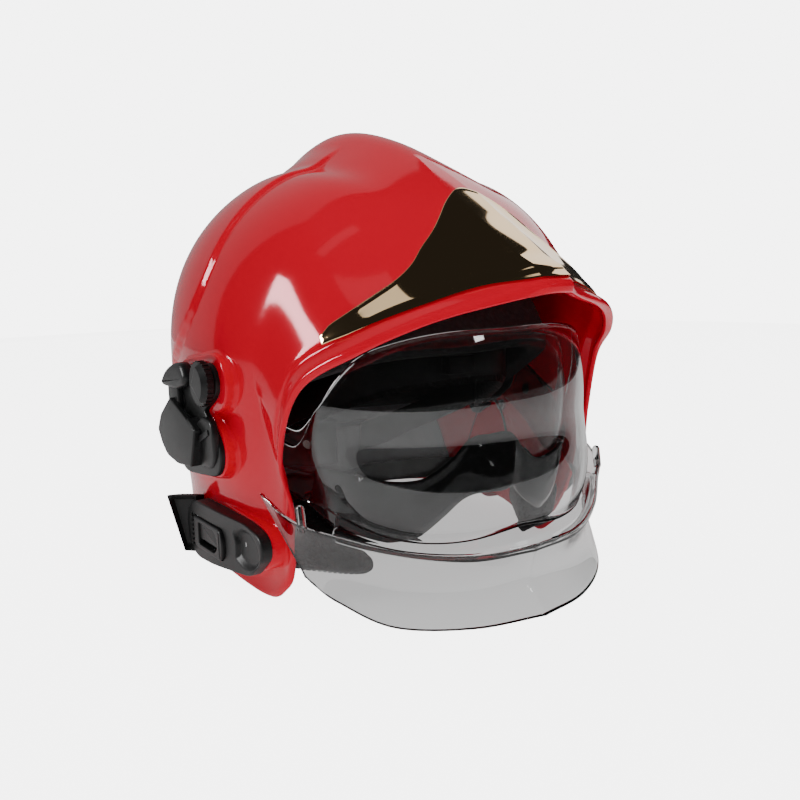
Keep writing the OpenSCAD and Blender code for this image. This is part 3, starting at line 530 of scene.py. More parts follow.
def swung(e, v):
    """Direction a share v of the way from the pole to a direction e."""
    om = from_pole(e)
    return unit(np.sin((1 - v) * om)[..., None] * POLE + np.sin(v * om)[..., None] * e)


def column_length(t):
    e, reach = rim_at(t)
    return from_pole(e) * reach


def flare_at(t):
    """How far the rim stands out from the dome, at rim position t."""
    e, reach = rim_at(t)
    return reach - dome(e)


# Above the rim the flare runs softer than between the rim's own points.
FLARE_STEP = 0.02
FLARE_SPREAD = 0.4
FLARE_SPAN = 75
FLARE_T = np.arange(0, RIM_N, FLARE_STEP)
flare_weight = np.exp(-0.5 * (np.arange(-FLARE_SPAN, FLARE_SPAN + 1) * FLARE_STEP / FLARE_SPREAD) ** 2)
flare_t = np.arange(-FLARE_SPAN, len(FLARE_T) + FLARE_SPAN) * FLARE_STEP
SOFT_FLARE = np.convolve(flare_at(flare_t), flare_weight / flare_weight.sum(), "valid")
BROW = RIM[0] - CENTRE
BROW_ANGLE = math.degrees(math.atan2(BROW[2], -BROW[1]))
BROW_LEN = float(rim_at(0.0)[1])
BROW_FLARE = float(flare_at(0.0))


def crest(d, r, a):
    """Height of the crest over the dome, for a direction, a radius and an angle over the head."""
    w = smooth((75 - a) / 35)
    q = np.abs(r * d[..., 0])
    middle = np.stack([0 * a, -np.cos(np.radians(a)), np.sin(np.radians(a))], -1)
    fade = np.clip(1 - np.radians(a - BROW_ANGLE) * BROW_LEN / 60, 0, 1) ** 2
    flare = np.where(a > 100, 0, BROW_FLARE * fade)
    c = eased(CREST_LINE, np.clip(a, -109, 226)) - dome(middle) - flare
    e = np.maximum(0, q - 8 * w) / (24 - 6 * w)
    k = (1 - w) * np.exp(-1.1 * e * e) + w * np.exp(-1.25 * e)
    valley = 2.5 * np.exp(-((q - 40) / 12) ** 2) * np.clip((150 - a) / 50, 0, 1) * (1 - w)
    return c * k * np.clip((a + 60) / 40, 0, 1) * np.clip((215 - a) / 40, 0, 1) - valley


def outer(t, s, off=0.0):
    """Point of the shell's outer face on rim position t, s millimetres up from the rim."""
    t, s, off = np.broadcast_arrays(np.asarray(t, float), np.asarray(s, float), np.asarray(off, float))
    e, reach = rim_at(t)
    d = swung(e, 1 - np.minimum(1, s / (from_pole(e) * reach)))
    front = smooth((0.1 - e[..., 1]) / 0.5)
    g = np.maximum(0, 1 - s / (45 + 15 * front)) ** 2
    a = np.degrees(np.arctan2(d[..., 2], -d[..., 1]))
    a = np.where(a < -90, a + 360, a)
    soft_flare = np.interp(t, FLARE_T, SOFT_FLARE, period=RIM_N)
    flare = soft_flare + (reach - dome(e) - soft_flare) * np.maximum(0, 1 - s / 18) ** 2
    r0 = dome(d) + flare * g
    r1 = r0 + crest(d, r0, a)
    q = CENTRE + d * r1[..., None]
    line = -6 + 0.0123 * np.maximum(0, 75 - q[..., 2]) ** 2
    step = STEP_H * smooth((q[..., 1] - line - 1.2) / 3.4)
    step = step * smooth((q[..., 2] + 95) / 25) * smooth((np.abs(q[..., 0]) - 18) / 16)
    bead = front * (2.0 * np.exp(-((s - 4) / 3) ** 2) - 1.0 * np.exp(-((s - 11) / 2.5) ** 2))
    return CENTRE + d * (r1 + step + bead - off)[..., None]


def wall(t, s):
    """Thickness of the shell, greater along the brow's lip."""
    e, _ = rim_at(t)
    front = smooth((0.1 - e[..., 1]) / 0.5) * smooth((e[..., 2] + 0.1) / 0.3)
    return SHELL_T + (LIP_T - SHELL_T) * front * smooth((14 - s) / 12)


def rim_rows(t, low, count):
    """Heights up each column: fixed ones near the rim, then even steps to the pole."""
    upper = 44 + (column_length(t) - 44)[None, :] * (np.arange(count)[:, None] / count)
    return np.vstack([np.repeat(low[:, None], len(t), 1), upper])


half_columns = np.concatenate([np.arange(0, 0.5, 0.025), np.linspace(0.5, RIM_N / 2, 181)])
shell_t = np.concatenate([half_columns[:-1], RIM_N - half_columns[:0:-1]])
low_rows = np.concatenate([[0, 0.15, 0.45, 0.9, 1.5], np.arange(2.3, 14, 0.85), np.arange(14, 44, 1.6)])
outer_s = rim_rows(shell_t, low_rows, 104)
inner_s = rim_rows(shell_t, np.array([0, 0.3, 0.9, 1.8, 3.5, 6, 9, 12, 16, 22, 32]), 26)
outer_net = outer(shell_t[None, :], outer_s, edge_round(outer_s, 1.4))
inner_net = outer(shell_t[None, :], inner_s, wall(shell_t[None, :], inner_s) - edge_round(inner_s, 1.4))
skin = BVHTree.FromPolygons(outer_net.reshape(-1, 3).tolist(), net_faces(len(outer_net), len(shell_t), True))


SEAT_N = 180


def lobes(groups, middle, grow=0.0, count=SEAT_N):
    """Outline in (y, z) round groups of discs, each group pulled tight like a string."""
    middle = np.array(middle, float)
    turn = np.linspace(0, 2 * np.pi, count, endpoint=False)
    out = np.stack([np.cos(turn), np.sin(turn)], -1)
    probe = np.linspace(0, 2 * np.pi, 240, endpoint=False)
    normal = np.stack([np.cos(probe), np.sin(probe)], -1)
    best = np.zeros(count)
    for discs in groups:
        discs = np.array(discs, float)
        support = np.max(normal @ discs[:, :2].T + discs[:, 2] + grow, axis=1) - normal @ middle
        facing = normal @ out.T
        ratio = support[:, None] / np.where(np.abs(facing) < 1e-9, 1e-9, facing)
        leave = np.min(np.where(facing > 1e-9, ratio, 1e9), axis=0)
        enter = np.max(np.where(facing < -1e-9, ratio, -1e9), axis=0)
        best = np.where(leave > np.maximum(enter, 0), np.maximum(best, leave), best)
    for _ in range(2):
        best = 0.25 * np.roll(best, 1) + 0.5 * best + 0.25 * np.roll(best, -1)
    return middle + out * best[:, None]


LAMP_SEAT = [[(-26, 7, 17), (11, 3, 14)], [(-24, -32, 15), (10, -36, 15), (11, 0, 13)]]
LAMP_MIDDLE = (-6, -14)
LAMP_X = 121.0
ANCHOR_SEAT = [[(-60, -80, 13), (8, -84, 20)]]
ANCHOR_X = 113.2


def moulded_seat(groups, middle, top, side, fillet=2.6, edge=1.3):
    """Raised seat that grows out of the shell with a fillet and ends in a flat face."""
    rings = []
    for k in range(7):
        rings.append((fillet * (1 - math.sin(k * math.pi / 12)), 0, 1 - math.cos(k * math.pi / 12)))
    for k in range(6):
        rings.append((-edge * (1 - math.cos(k * math.pi / 10)), 1, 1 - math.sin(k * math.pi / 10)))
    rings.append((-6.0, 1, 0.0))
    points = []
    for grow, upper, share in rings:
        for y, z in lobes(groups, middle, grow):
            hit = skin.ray_cast(Vector((200.0, y, z)), Vector((-1.0, 0.0, 0.0)))[0]
            base = (hit.x if hit else 104.0) - 0.12
            rise = max(0.3, top - base)
            if upper:
                x = top - min(edge, 0.45 * rise) * share
            else:
                x = base + min(fillet, 0.5 * rise) * share
            points.append((side * x, y, z))
    faces = net_faces(len(rings), SEAT_N, True)
    pole = len(points)
    points.append((side * top, *middle))
    faces += [[pole - SEAT_N + i, pole - SEAT_N + (i + 1) % SEAT_N, pole] for i in range(SEAT_N)]
    return points, faces


shell_parts = [cup(outer_net, outer(0.0, 1e6), inner_net, outer(0.0, 1e6, SHELL_T))]
for side in (1, -1):
    shell_parts.append(moulded_seat(LAMP_SEAT, LAMP_MIDDLE, LAMP_X, side))
    shell_parts.append(moulded_seat(ANCHOR_SEAT, (-20, -82), ANCHOR_X, side, 2.0, 1.0))
keep(solid("shell", *stacked(shell_parts), red_gloss, 50.0), "red_gloss", "outer_shell")


# The frontal plate: thin gilt sheet pressed over the crest and the brow, with a folded rim.
# It lies half a millimetre off the shell and is clipped under its edge.
PLATE_T = 1.2
PLATE_GAP = 0.5
PLATE_END = 3.42
PLATE_TOP = [[0, 95], [0.14, 94], [0.42, 88], [0.75, 78], [1.05, 66], [1.3, 56], [1.6, 46],
             [1.84, 37], [2.13, 30.5], [2.47, 26.5], [2.85, 23.5], [3.25, 21], [PLATE_END, 18]]
PLATE_LOW = [[0, 8], [0.42, 9], [1.05, 12], [2, 11], [3, 12.5], [PLATE_END, 13.5]]
plate_half = np.concatenate([np.arange(0, 0.5, 0.02), np.arange(0.5, PLATE_END, 0.04), [PLATE_END]])
plate_t = np.concatenate([-plate_half[:0:-1], plate_half])
plate_v = np.linspace(0, 1, 60)[:, None]
plate_from = eased(PLATE_LOW, np.abs(plate_t))[None, :]
plate_s = plate_from + (eased(PLATE_TOP, np.abs(plate_t))[None, :] - plate_from) * plate_v
rim_fold = 0.7 * np.exp(-((plate_v - 1) * (plate_s[-1:] - plate_from) / 1.6) ** 2)
plate_columns = (plate_t[None, :] + RIM_N) % RIM_N
keep(rounded_slab("frontal_plate_gilt", outer(plate_columns, plate_s, -PLATE_T - PLATE_GAP - 0.35 * rim_fold),
                  outer(plate_columns, plate_s, -PLATE_GAP), gilt, 0.6), "gilt", "frontal_plate")


# The impact liner: a moulded cap of expanded foam that fills the shell's upper half.
# It is held between the hinge carriers and by the lugs of the size adjuster.
LINER_RIM = both_halves([[0, -112, 24], [60, -94, 20], [88, -50, 2], [97, -10, -20], [99, 30, -36],
                         [80, 85, -45], [0, 125, -48]])
HINGE = np.array([-5.0, -10.0])
HUB = np.array([0.0, *HINGE])
LINER_EDGE = 4.0
LINER_CROWN_T = 22.0
LINER_COLUMN = 150


def liner_reach(d):
    a = np.degrees(np.arctan2(d[..., 2], -d[..., 1]))
    tall = 108 + 26 * smooth((a - 68) / 24) * (d[..., 2] > 0)
    deep = np.hypot(d[..., 1] / np.where(d[..., 1] < 0, 108, 129), d[..., 2] / tall)
    return ((np.abs(d[..., 0]) / 101) ** 2.6 + deep ** 2.6) ** (-1 / 2.6)


def liner_point(t, v, off):
    """Point of the liner for a rim position, a share of the way from the pole and a depth."""
    t, v, off = np.broadcast_arrays(t, v, off)
    d = swung(unit(round_loop(LINER_RIM, t) - HUB), v)
    return HUB + d * (liner_reach(d) - off)[..., None]


liner_t = np.linspace(0, 12, 144, endpoint=False)
liner_low = 1 - np.array([0, 0.3, 0.9, 1.8, 3.0, 4.2, 6]) / LINER_COLUMN
liner_v = np.concatenate([liner_low, np.linspace(0.94, 0.03, 34)])[:, None]
liner_edge = edge_round((1 - liner_v) * LINER_COLUMN, LINER_EDGE)
liner_wall = 15 + 5 * smooth((round_loop(LINER_RIM, liner_t) - HUB)[:, 1] / 110 + 0.6)
liner_wall = liner_wall + (LINER_CROWN_T - liner_wall) * smooth(1 - liner_v * 4)
liner = cup(liner_point(liner_t, liner_v, liner_edge), liner_point(0.0, 0.0, 0.0),
            liner_point(liner_t, liner_v, liner_wall - liner_edge), liner_point(0.0, 0.0, LINER_CROWN_T))
keep(solid("impact_liner_foam", *liner, foam, 40.0), "foam", "impact_liner")


def laid_flat(piece, nets):
    """Gives the faces of point nets a UV in metres along and across the cloth."""
    layer = piece.data.uv_layers.new(name="cloth")
    tree = KDTree(sum(net.shape[0] * net.shape[1] for net in nets))
    flat = []
    for net in nets:
        down = np.linalg.norm(np.diff(net, axis=0), axis=-1)
        side = np.linalg.norm(np.diff(net, axis=1), axis=-1)
        v = np.vstack([np.zeros(net.shape[1]), np.cumsum(down, axis=0)]) / 1000
        u = np.hstack([np.zeros((net.shape[0], 1)), np.cumsum(side, axis=1)]) / 1000
        for point, a, b in zip(framed(net).reshape(-1, 3), u.ravel(), v.ravel()):
            tree.insert(Vector(point), len(flat))
            flat.append((float(a), float(b)))
    tree.balance()
    at = [flat[tree.find(v.co)[1]] for v in piece.data.vertices]
    for loop in piece.data.loops:
        layer.data[loop.index].uv = at[loop.vertex_index]
    return piece


# The neck lining: one piece of grey spacer cloth stretched inside the back of the shell,
# with a sewn hem. It hangs from clips behind the liner, clear of the wall.
lining_t = np.linspace(10.98, 17.02, 150)
lining_s = np.linspace(0, 1, 46)[:, None]
lining_high = 44 + (column_length(lining_t) - 44) / 12 * 0.98
lining_way = 3.8 + (lining_high - 3.8) * lining_s
slack = 0.5 * np.sin(lining_t * 9.0) * np.sin(np.pi * lining_s)
slack = slack + 0.35 * np.sin(lining_t * 23.0 + 9 * lining_s)
hem = np.exp(-((lining_way - 9.0) / 1.2) ** 2) * 0.5
lining_nets = [outer(lining_t[None], lining_way, depth + slack * 0.4 - hem * 0.3) for depth in (5.9, 4.8)]
lining = rounded_slab("neck_lining_cloth", lining_nets[1], lining_nets[0], lining_cloth, 0.4)
keep(laid_flat(lining, lining_nets), "lining", "neck_lining")


# The head harness: a nylon band with a leather brow pad, two crossed webbing straps over
# the crown, and the clips that hold them to the liner.
BAND = np.array([[0, -86], [46, -77], [71, -34], [77, 8], [70, 52], [60, 78], [48, 94.5]], float)
BROW_REACH = 0.4
BROW_HALF = 14.0


def band_point(s, z, off):
    """Point of the head band: s from the right end to the left, z up and a depth."""
    s, z, off = np.broadcast_arrays(s, z, off)
    p = open_path(BAND, np.abs(s) * 6)
    q = p - unit(p * [1, 0.75]) * off[..., None]
    return np.stack([np.where(s < 0, -1.0, 1.0) * q[..., 0], q[..., 1], z - 24 - 42 * p[..., 1] / 94], -1)


def cad_mesh(part):
    """Copy of a CAD part's mesh with its triangles joined."""
    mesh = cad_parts[part].data.copy()
    work = bmesh.new()
    work.from_mesh(mesh)
    bmesh.ops.remove_doubles(work, verts=work.verts, dist=2e-6)
    work.to_mesh(mesh)
    return mesh, work


def softened(part, ending, material, width, body="shell"):
    """A CAD part with flat faces merged and its sharp edges rounded by a width in mm."""
    mesh, work = cad_mesh(part)
    bmesh.ops.dissolve_limit(work, angle_limit=math.radians(1.0), verts=work.verts, edges=work.edges)
    work.to_mesh(mesh)
    work.free()
    mesh.name = part + ending
    made = shown(part + ending, dressed(mesh, material))
    modify(made, "BEVEL", width=width / 1000, segments=2, limit_method="ANGLE",
           angle_limit=math.radians(34.0), harden_normals=True)
    keep(made, material.name.split(".")[0], part, body=body)


softened("headband", "_nylon", black_satin, 0.4)
softened("cradle_clips", "_moulded", black_satin, 0.5)


def cradle_point(d, off):
    """Point of a crown strap in a direction, a depth under the liner."""
    level = d[..., 1] / np.hypot(d[..., 0], d[..., 1])
    d = unit(d)
    climb = smooth((np.degrees(np.arcsin(d[..., 2])) - 30) / 30)
    gap = (15.7 + 5 * smooth(level + 0.6)) * (1 - climb) + 24 * climb
    return HUB + d * (liner_reach(d) - gap - off)[..., None]


def joined(first, *others):
    """Several meshes as one object, in the first one's name."""
    work = bmesh.new()
    for piece in (first, *others):
        work.from_mesh(piece.data)
    work.to_mesh(first.data)
    work.free()
    for piece in others:
        bpy.data.objects.remove(piece)
    return first


cradle_a = np.radians(np.linspace(20, 160, 90))
cradle_w = np.linspace(-0.13, 0.13, 9)[:, None]
cradle = []
for name, way, low in (("crown_cradle_webbing", (np.cos(cradle_a), -cradle_w, np.sin(cradle_a)), 0.9),
                       ("long_strap", (-cradle_w, -np.cos(cradle_a), np.sin(cradle_a)), 0.0)):
    way = np.stack(np.broadcast_arrays(*way), -1)
    nets = [cradle_point(way, low), cradle_point(way, low + 0.9)]
    cradle.append(laid_flat(rounded_slab(name, *nets, webbing, 0.3), nets))
keep(joined(*cradle), "webbing", "crown_cradle")

pad_s = np.linspace(-BROW_REACH, BROW_REACH, 120)
pad_z = np.linspace(-1, 1, 34)[:, None]
end_round = np.clip((1 - (np.abs(pad_s) / BROW_REACH) ** 12), 0, 1) ** 0.5
crown = (1 - np.abs(pad_z) ** 3.2) ** 0.6 * end_round
tucks = 0.35 * np.abs(np.sin(pad_s * 26)) * (1 - pad_z ** 2)
quilt = 0.8 * np.exp(-(pad_z / 0.05) ** 2)
pad_out, pad_in = (band_point(pad_s, BROW_HALF * pad_z * (0.97 + 0.03 * end_round), depth)
                   for depth in (2.05, 2.3 + 5.5 * crown - tucks - quilt))
brow = rounded_slab("brow_pad_leather", pad_out, pad_in, pad_leather, 0.1, 60.0)
keep(brow, "pad_leather", "brow_pad")


# The cheek pads: foam blocks sewn into grained leather, one each side, fixed inside the
# shell's front corners. The leather is blown up as cloth, then gets its seam and stitches.
def geometry_tree(name, **inputs):
    """Geometry tree with a mesh going in, named inputs and a mesh coming out."""
    made = new_tree(name, {"Geometry": None, **inputs}, ("Geometry",), "GeometryNodeTree")
    made.is_modifier = True
    return made


def grown(name, mesh, tree, **inputs):
    """Runs a geometry tree on a mesh and keeps the result as a plain mesh object."""
    seed = shown(name + "_seed", mesh)
    run = modify(seed, "NODES", node_group=tree)
    for slot in tree.interface.items_tree:
        if slot.name in inputs:
            run[slot.identifier] = inputs[slot.name]
    seed.update_tag()
    result = solved(seed)
    bpy.data.objects.remove(seed)
    result.name = name
    return shown(name, result)


def finish_tree(tree, shape):
    """Ends a tree: instances made real, then the material."""
    node(tree, "real", "GeometryNodeRealizeInstances")
    node(tree, "coat", "GeometryNodeSetMaterial")
    wire(tree, shape + " real.0  real.0 coat.Geometry  into.Material coat.Material  coat.0 out.0")


stitch_tree = geometry_tree("stitch_row", Pitch=0.0032, Thickness=0.0003, Length=0.0022, Material=None)
node(stitch_tree, "seam", "GeometryNodeMeshToCurve")
node(stitch_tree, "spaced", "GeometryNodeResampleCurve", mode="LENGTH")
node(stitch_tree, "thread", "GeometryNodeMeshCylinder", Vertices=6)
node(stitch_tree, "tangent", "GeometryNodeInputTangent")
node(stitch_tree, "turned", "FunctionNodeAlignRotationToVector", axis="Z")
node(stitch_tree, "sewn", "GeometryNodeInstanceOnPoints")
wire(stitch_tree, "into.Geometry seam.0  seam.0 spaced.Curve  into.Pitch spaced.Length "
                  "into.Thickness thread.Radius  into.Length thread.Depth  tangent.0 turned.Vector "
                  "spaced.0 sewn.Points  thread.Mesh sewn.Instance  turned.0 sewn.Rotation")
finish_tree(stitch_tree, "sewn.0")


def stitched(name, lines, closed, thickness=0.0003):
    """Stitches along lines of points in metres."""
    mesh = bpy.data.meshes.new(name + "_line")
    points = []
    edges = []
    for line in lines:
        first = len(points)
        points += [tuple(p) for p in line]
        edges += [(first + i, first + i + 1) for i in range(len(line) - 1)]
        if closed:
            edges.append((first + len(line) - 1, first))
    mesh.from_pydata(points, edges, [])
    return grown(name, mesh, stitch_tree, Thickness=thickness, Material=thread_black)


CLOTH_STEPS = 14
PAD_VOXEL = 0.0035


def blown_up(part, shrink, pressure, most):
    """Mesh of a CAD pad, blown up as cloth from a slightly smaller shape."""
    mesh, work = cad_mesh(part)
    work.free()
    pad = shown("pad_form", mesh)
    modify(pad, "REMESH", mode="VOXEL", voxel_size=PAD_VOXEL)
    mesh = solved(pad)
    pad.modifiers.clear()
    pad.data = mesh
    start = np.array([v.co - v.normal * shrink for v in mesh.vertices])
    mesh.vertices.foreach_set("co", start.ravel())
    cloth = modify(pad, "CLOTH")
    cloth.settings.use_pressure = True
    cloth.settings.uniform_pressure_force = pressure
    cloth.settings.effector_weights.gravity = 0.0
    cloth.settings.quality = 4
    cloth.point_cache.frame_start = 1
    cloth.point_cache.frame_end = CLOTH_STEPS
    for step in range(1, CLOTH_STEPS + 1):
        scene.frame_set(step)
    blown = pad.evaluated_get(bpy.context.evaluated_depsgraph_get()).data
    way = np.array([v.co for v in blown.vertices]) - start
    scene.frame_set(1)
    pad.modifiers.clear()
    far = np.linalg.norm(way, axis=1, keepdims=True)
    mesh.vertices.foreach_set("co", (start + way * np.minimum(1, most / np.maximum(far, 1e-9))).ravel())
    bpy.data.objects.remove(pad)
    return mesh


def seam_line(mesh, middle, across):
    """Ordered loop where a plane cuts a closed mesh."""
    work = bmesh.new()
    work.from_mesh(mesh)
    cut = bmesh.ops.bisect_plane(work, geom=work.verts[:] + work.edges[:] + work.faces[:],
                                 plane_co=middle, plane_no=across)
    verts = [v for v in cut["geom_cut"] if isinstance(v, bmesh.types.BMVert)]
    centre = sum((v.co for v in verts), Vector()) / len(verts)
    side = across.orthogonal().normalized()
    other = across.cross(side)
    verts.sort(key=lambda v: math.atan2((v.co - centre).dot(other), (v.co - centre).dot(side)))
    line = np.array([v.co for v in verts])
    work.free()
    for _ in range(3):
        line = 0.25 * np.roll(line, 1, axis=0) + 0.5 * line + 0.25 * np.roll(line, -1, axis=0)
    return line


cheek_mesh = blown_up("cheek_pad_left", shrink=0.0016, pressure=3.0, most=0.0022)
cheek_middle = sum((v.co for v in cheek_mesh.vertices), Vector()) / len(cheek_mesh.vertices)
cheek_across = Vector((0.72, -0.66, 0.2)).normalized()
cheek_seam = seam_line(cheek_mesh, cheek_middle, cheek_across)
for v in cheek_mesh.vertices:
    lean = (v.co - cheek_middle).dot(cheek_across)
    v.co -= v.normal * (0.0013 * math.exp(-(lean / 0.0016) ** 2))
for side, name in ((1, "cheek_pad_left"), (-1, "cheek_pad_right")):
    mesh = cheek_mesh.copy()
    if side < 0:
        mesh.transform(Matrix.Scale(-1, 4, (1, 0, 0)))
        mesh.flip_normals()
    pad = shown(name + "_leather", dressed(mesh, pad_leather))
    modify(pad, "SUBSURF", levels=1, render_levels=1)
    keep(pad, "pad_leather", name)
    drawn_in = cheek_seam * 0.985 + np.array(cheek_middle) * 0.015
    rows = [(drawn_in + np.array(cheek_across) * shift) * [side, 1, 1] for shift in (-0.0024, 0.0024)]
    keep(stitched(name + "_stitches", rows, True))


# The hinges: two moulded nylon carriers screwed into the seats from inside, a steel stud
# riveted into each, and acetal washers between the arms of the two shields.
STUD_R = 4.0
CARRIER_AT = [(18, 11), (18, -36)]
LAMP_AT = [(-28, -21), (2, -37)]
ANCHOR_AT = [(-50, -80), (-20, -84)]

set_tree = geometry_tree("set_pieces", Piece=None, Material=None)
node(set_tree, "aim", "GeometryNodeInputNamedAttribute", data_type="FLOAT_VECTOR", Name="aim")
node(set_tree, "turned", "FunctionNodeAlignRotationToVector", axis="Z")
node(set_tree, "model", "GeometryNodeObjectInfo")
node(set_tree, "put", "GeometryNodeInstanceOnPoints")
wire(set_tree, "into.Geometry put.Points  into.Piece model.Object  model.Geometry put.Instance "
               "aim.0 turned.Vector  turned.0 put.Rotation")
finish_tree(set_tree, "put.0")


def lathed(profile, socket=0.0, turns=36):
    """Turned piece round Z from (radius, height) pairs in mm, with an optional hex socket."""
    a = np.linspace(0, 2 * np.pi, turns, endpoint=False)
    hexagon = 1 / np.cos((a + np.pi / 6) % (np.pi / 3) - np.pi / 6)
    rings = list(profile)
    if socket:
        top = profile[-1][1]
        rings += [(socket * r * hexagon, top + z) for r, z in ((1.04, 0.0), (1.0, -0.12), (0.97, -1.0))]
    points = np.vstack([np.stack([r * np.cos(a), r * np.sin(a), 0 * a + z], -1) for r, z in rings])
    mesh = bpy.data.meshes.new("turned_piece")
    mesh.from_pydata((points / 1000).tolist(), [], capped(len(rings), turns))
    mesh.shade_smooth()
    mesh.set_sharp_from_angle(angle=math.radians(40))
    return shown("turned_piece", mesh)


def placed(name, model_piece, spots, material):
    """Copies of a turned piece at (point, aim) spots, joined in one mesh."""
    mesh = bpy.data.meshes.new(name + "_spots")
    mesh.from_pydata([tuple(framed(p)) for p, _ in spots], [], [])
    aims = mesh.attributes.new("aim", "FLOAT_VECTOR", "POINT")
    aims.data.foreach_set("vector", np.array([d for _, d in spots], float).ravel())
    made = grown(name, mesh, set_tree, Piece=model_piece, Material=material)
    bpy.data.objects.remove(model_piece)
    return made


def both_sides(x, *places, aim_x=-1):
    """Spots at x and -x for each (y, z), whose pieces point outwards for a positive aim."""
    return [((side * x, y, z), (side * aim_x, 0, 0)) for y, z in places for side in (1, -1)]


def screw(length, shank, head, high):
    """Cap screw: its head starts at zero and rises, its shank runs down."""
    return lathed([(shank * 0.8, -length), (shank, -length + 0.5), (shank, 0.0), (head, 0.02),
                   (head, high - 0.35), (head - 0.12, high - 0.1), (head - 0.4, high)], head * 0.48)


for part in ("carrier_left", "carrier_right"):
    softened(part, "_moulded", black_satin, 0.5)
stud = lathed([(STUD_R - 0.3, 0), (STUD_R, 0.3), (STUD_R, 9.4), (8.0, 9.42), (8.0, 10.5), (7.4, 11.0),
               (5.0, 11.1)], 2.4)
keep(placed("hinge_studs_steel", stud, both_sides(101.3, HINGE, aim_x=1), steel), "steel", "hinge_studs")
WASHER = [(4.2, 0.1), (4.3, 0.0), (10.8, 0.0), (11.0, 0.15), (11.0, 0.65), (10.8, 0.8), (4.3, 0.8),
          (4.2, 0.7)]
WASHER_X = 106.75
around = np.linspace(0, 2 * np.pi, 64, endpoint=False)
washer = np.vstack([np.stack([0 * around + h, r * np.cos(around), r * np.sin(around)], -1) for r, h in WASHER])
washer = washer + [WASHER_X, *HINGE]
washers = [(washer * [side, 1, 1], looped(len(WASHER), len(around))) for side in (1, -1)]
keep(solid("hinge_washers_acetal", *stacked(washers), acetal), "acetal", "hinge_washers")
keep(placed("carrier_screws_steel", screw(15.8, 1.5, 3.0, 1.6), both_sides(103.1, *CARRIER_AT), steel),
     "steel", "carrier_screws")
keep(joined(
    placed("fitting_screws_steel", screw(12.3, 2.0, 3.8, 1.7), both_sides(113.1, *LAMP_AT), steel),
    placed("anchor_screws_rear", screw(11.7, 2.0, 3.8, 2.5), both_sides(105.1, ANCHOR_AT[1]), steel),
    placed("anchor_screws_front", screw(15.8, 2.0, 3.8, 1.9), both_sides(101.5, ANCHOR_AT[0]), steel)),
    "steel", "fitting_screws")


# The lamp holder on the wearer's right: a moulded base, a hinged arm with a round hood and
# a ribbed clamp knob. The wearer's left has a red blank cap on the same seat.
LAMP_PIN = (16.0, -22.0)
KNOB_AT = (-25.0, 7.5)
KNOB_R = 13.5
KNOB_TOP = 4.8
ARM_X = LAMP_X + 3.65
BASE_X = LAMP_X + 2.6


def cornered(points, radius, steps=5):
    """Closed (y, z) outline with each corner rounded; radius may differ per corner."""
    points = np.array(points, float)
    radii = np.broadcast_to(radius, len(points))
    made = []
    for i, p in enumerate(points):
        a = points[i - 1] - p
        b = points[(i + 1) % len(points)] - p
        cut = min(0.45 * min(np.linalg.norm(a), np.linalg.norm(b)), float(radii[i]))
        a = p + unit(a) * cut
        b = p + unit(b) * cut
        for u in np.linspace(0, 1, steps):
            made.append((1 - u) ** 2 * a + 2 * u * (1 - u) * p + u * u * b)
    made = np.array(made)
    area = np.sum(made[:, 0] * np.roll(made[:, 1], -1) - made[:, 1] * np.roll(made[:, 0], -1))
    return made if area > 0 else made[::-1]


def oblong(y0, z0, y1, z1, radius, steps=5):
    return cornered([(y0, z0), (y1, z0), (y1, z1), (y0, z1)], radius, steps)


def shrunk(outline, by):
    """Outline moved inwards along its own normals."""
    turn = unit(np.roll(outline, -1, axis=0) - np.roll(outline, 1, axis=0))
    return outline + np.stack([-turn[:, 1], turn[:, 0]], -1) * by


def block(outline, x0, x1, edge, hole=None, top=None, foot=0.0):
    """Plate with rounded upper edges from an outline in (y, z): points and faces."""
    turns = [k * math.pi / 8 for k in range(5)]
    rings = [(shrunk(outline, foot * (1 - math.sin(t))), x0 + foot * (1 - math.cos(t)))
             for t in (turns if foot else turns[:1])]
    rings += [(shrunk(outline, edge * (1 - math.cos(t))), x1 - edge * (1 - math.sin(t))) for t in turns]
    if hole is not None:
        inner = edge * 0.6
        rings += [(shrunk(hole, -inner * (1 - math.sin(t))), x1 - inner * (1 - math.cos(t))) for t in turns]
        rings.append((hole, x0))
    points = []
    for line, x in rings:
        for y, z in line:
            follows = top is not None and x > x0 + 0.5
            points.append((min(x, x - x1 + top(y, z)) if follows else x, y, z))
    shut = capped if hole is None else looped
    return np.array(points), shut(len(rings), len(outline))


def block_set(name, blocks, side, crease=32.0, material=black_satin):
    """One mesh out of overlapping blocks on one side of the helmet."""
    return solid(name, *stacked(blocks, side), material, crease)


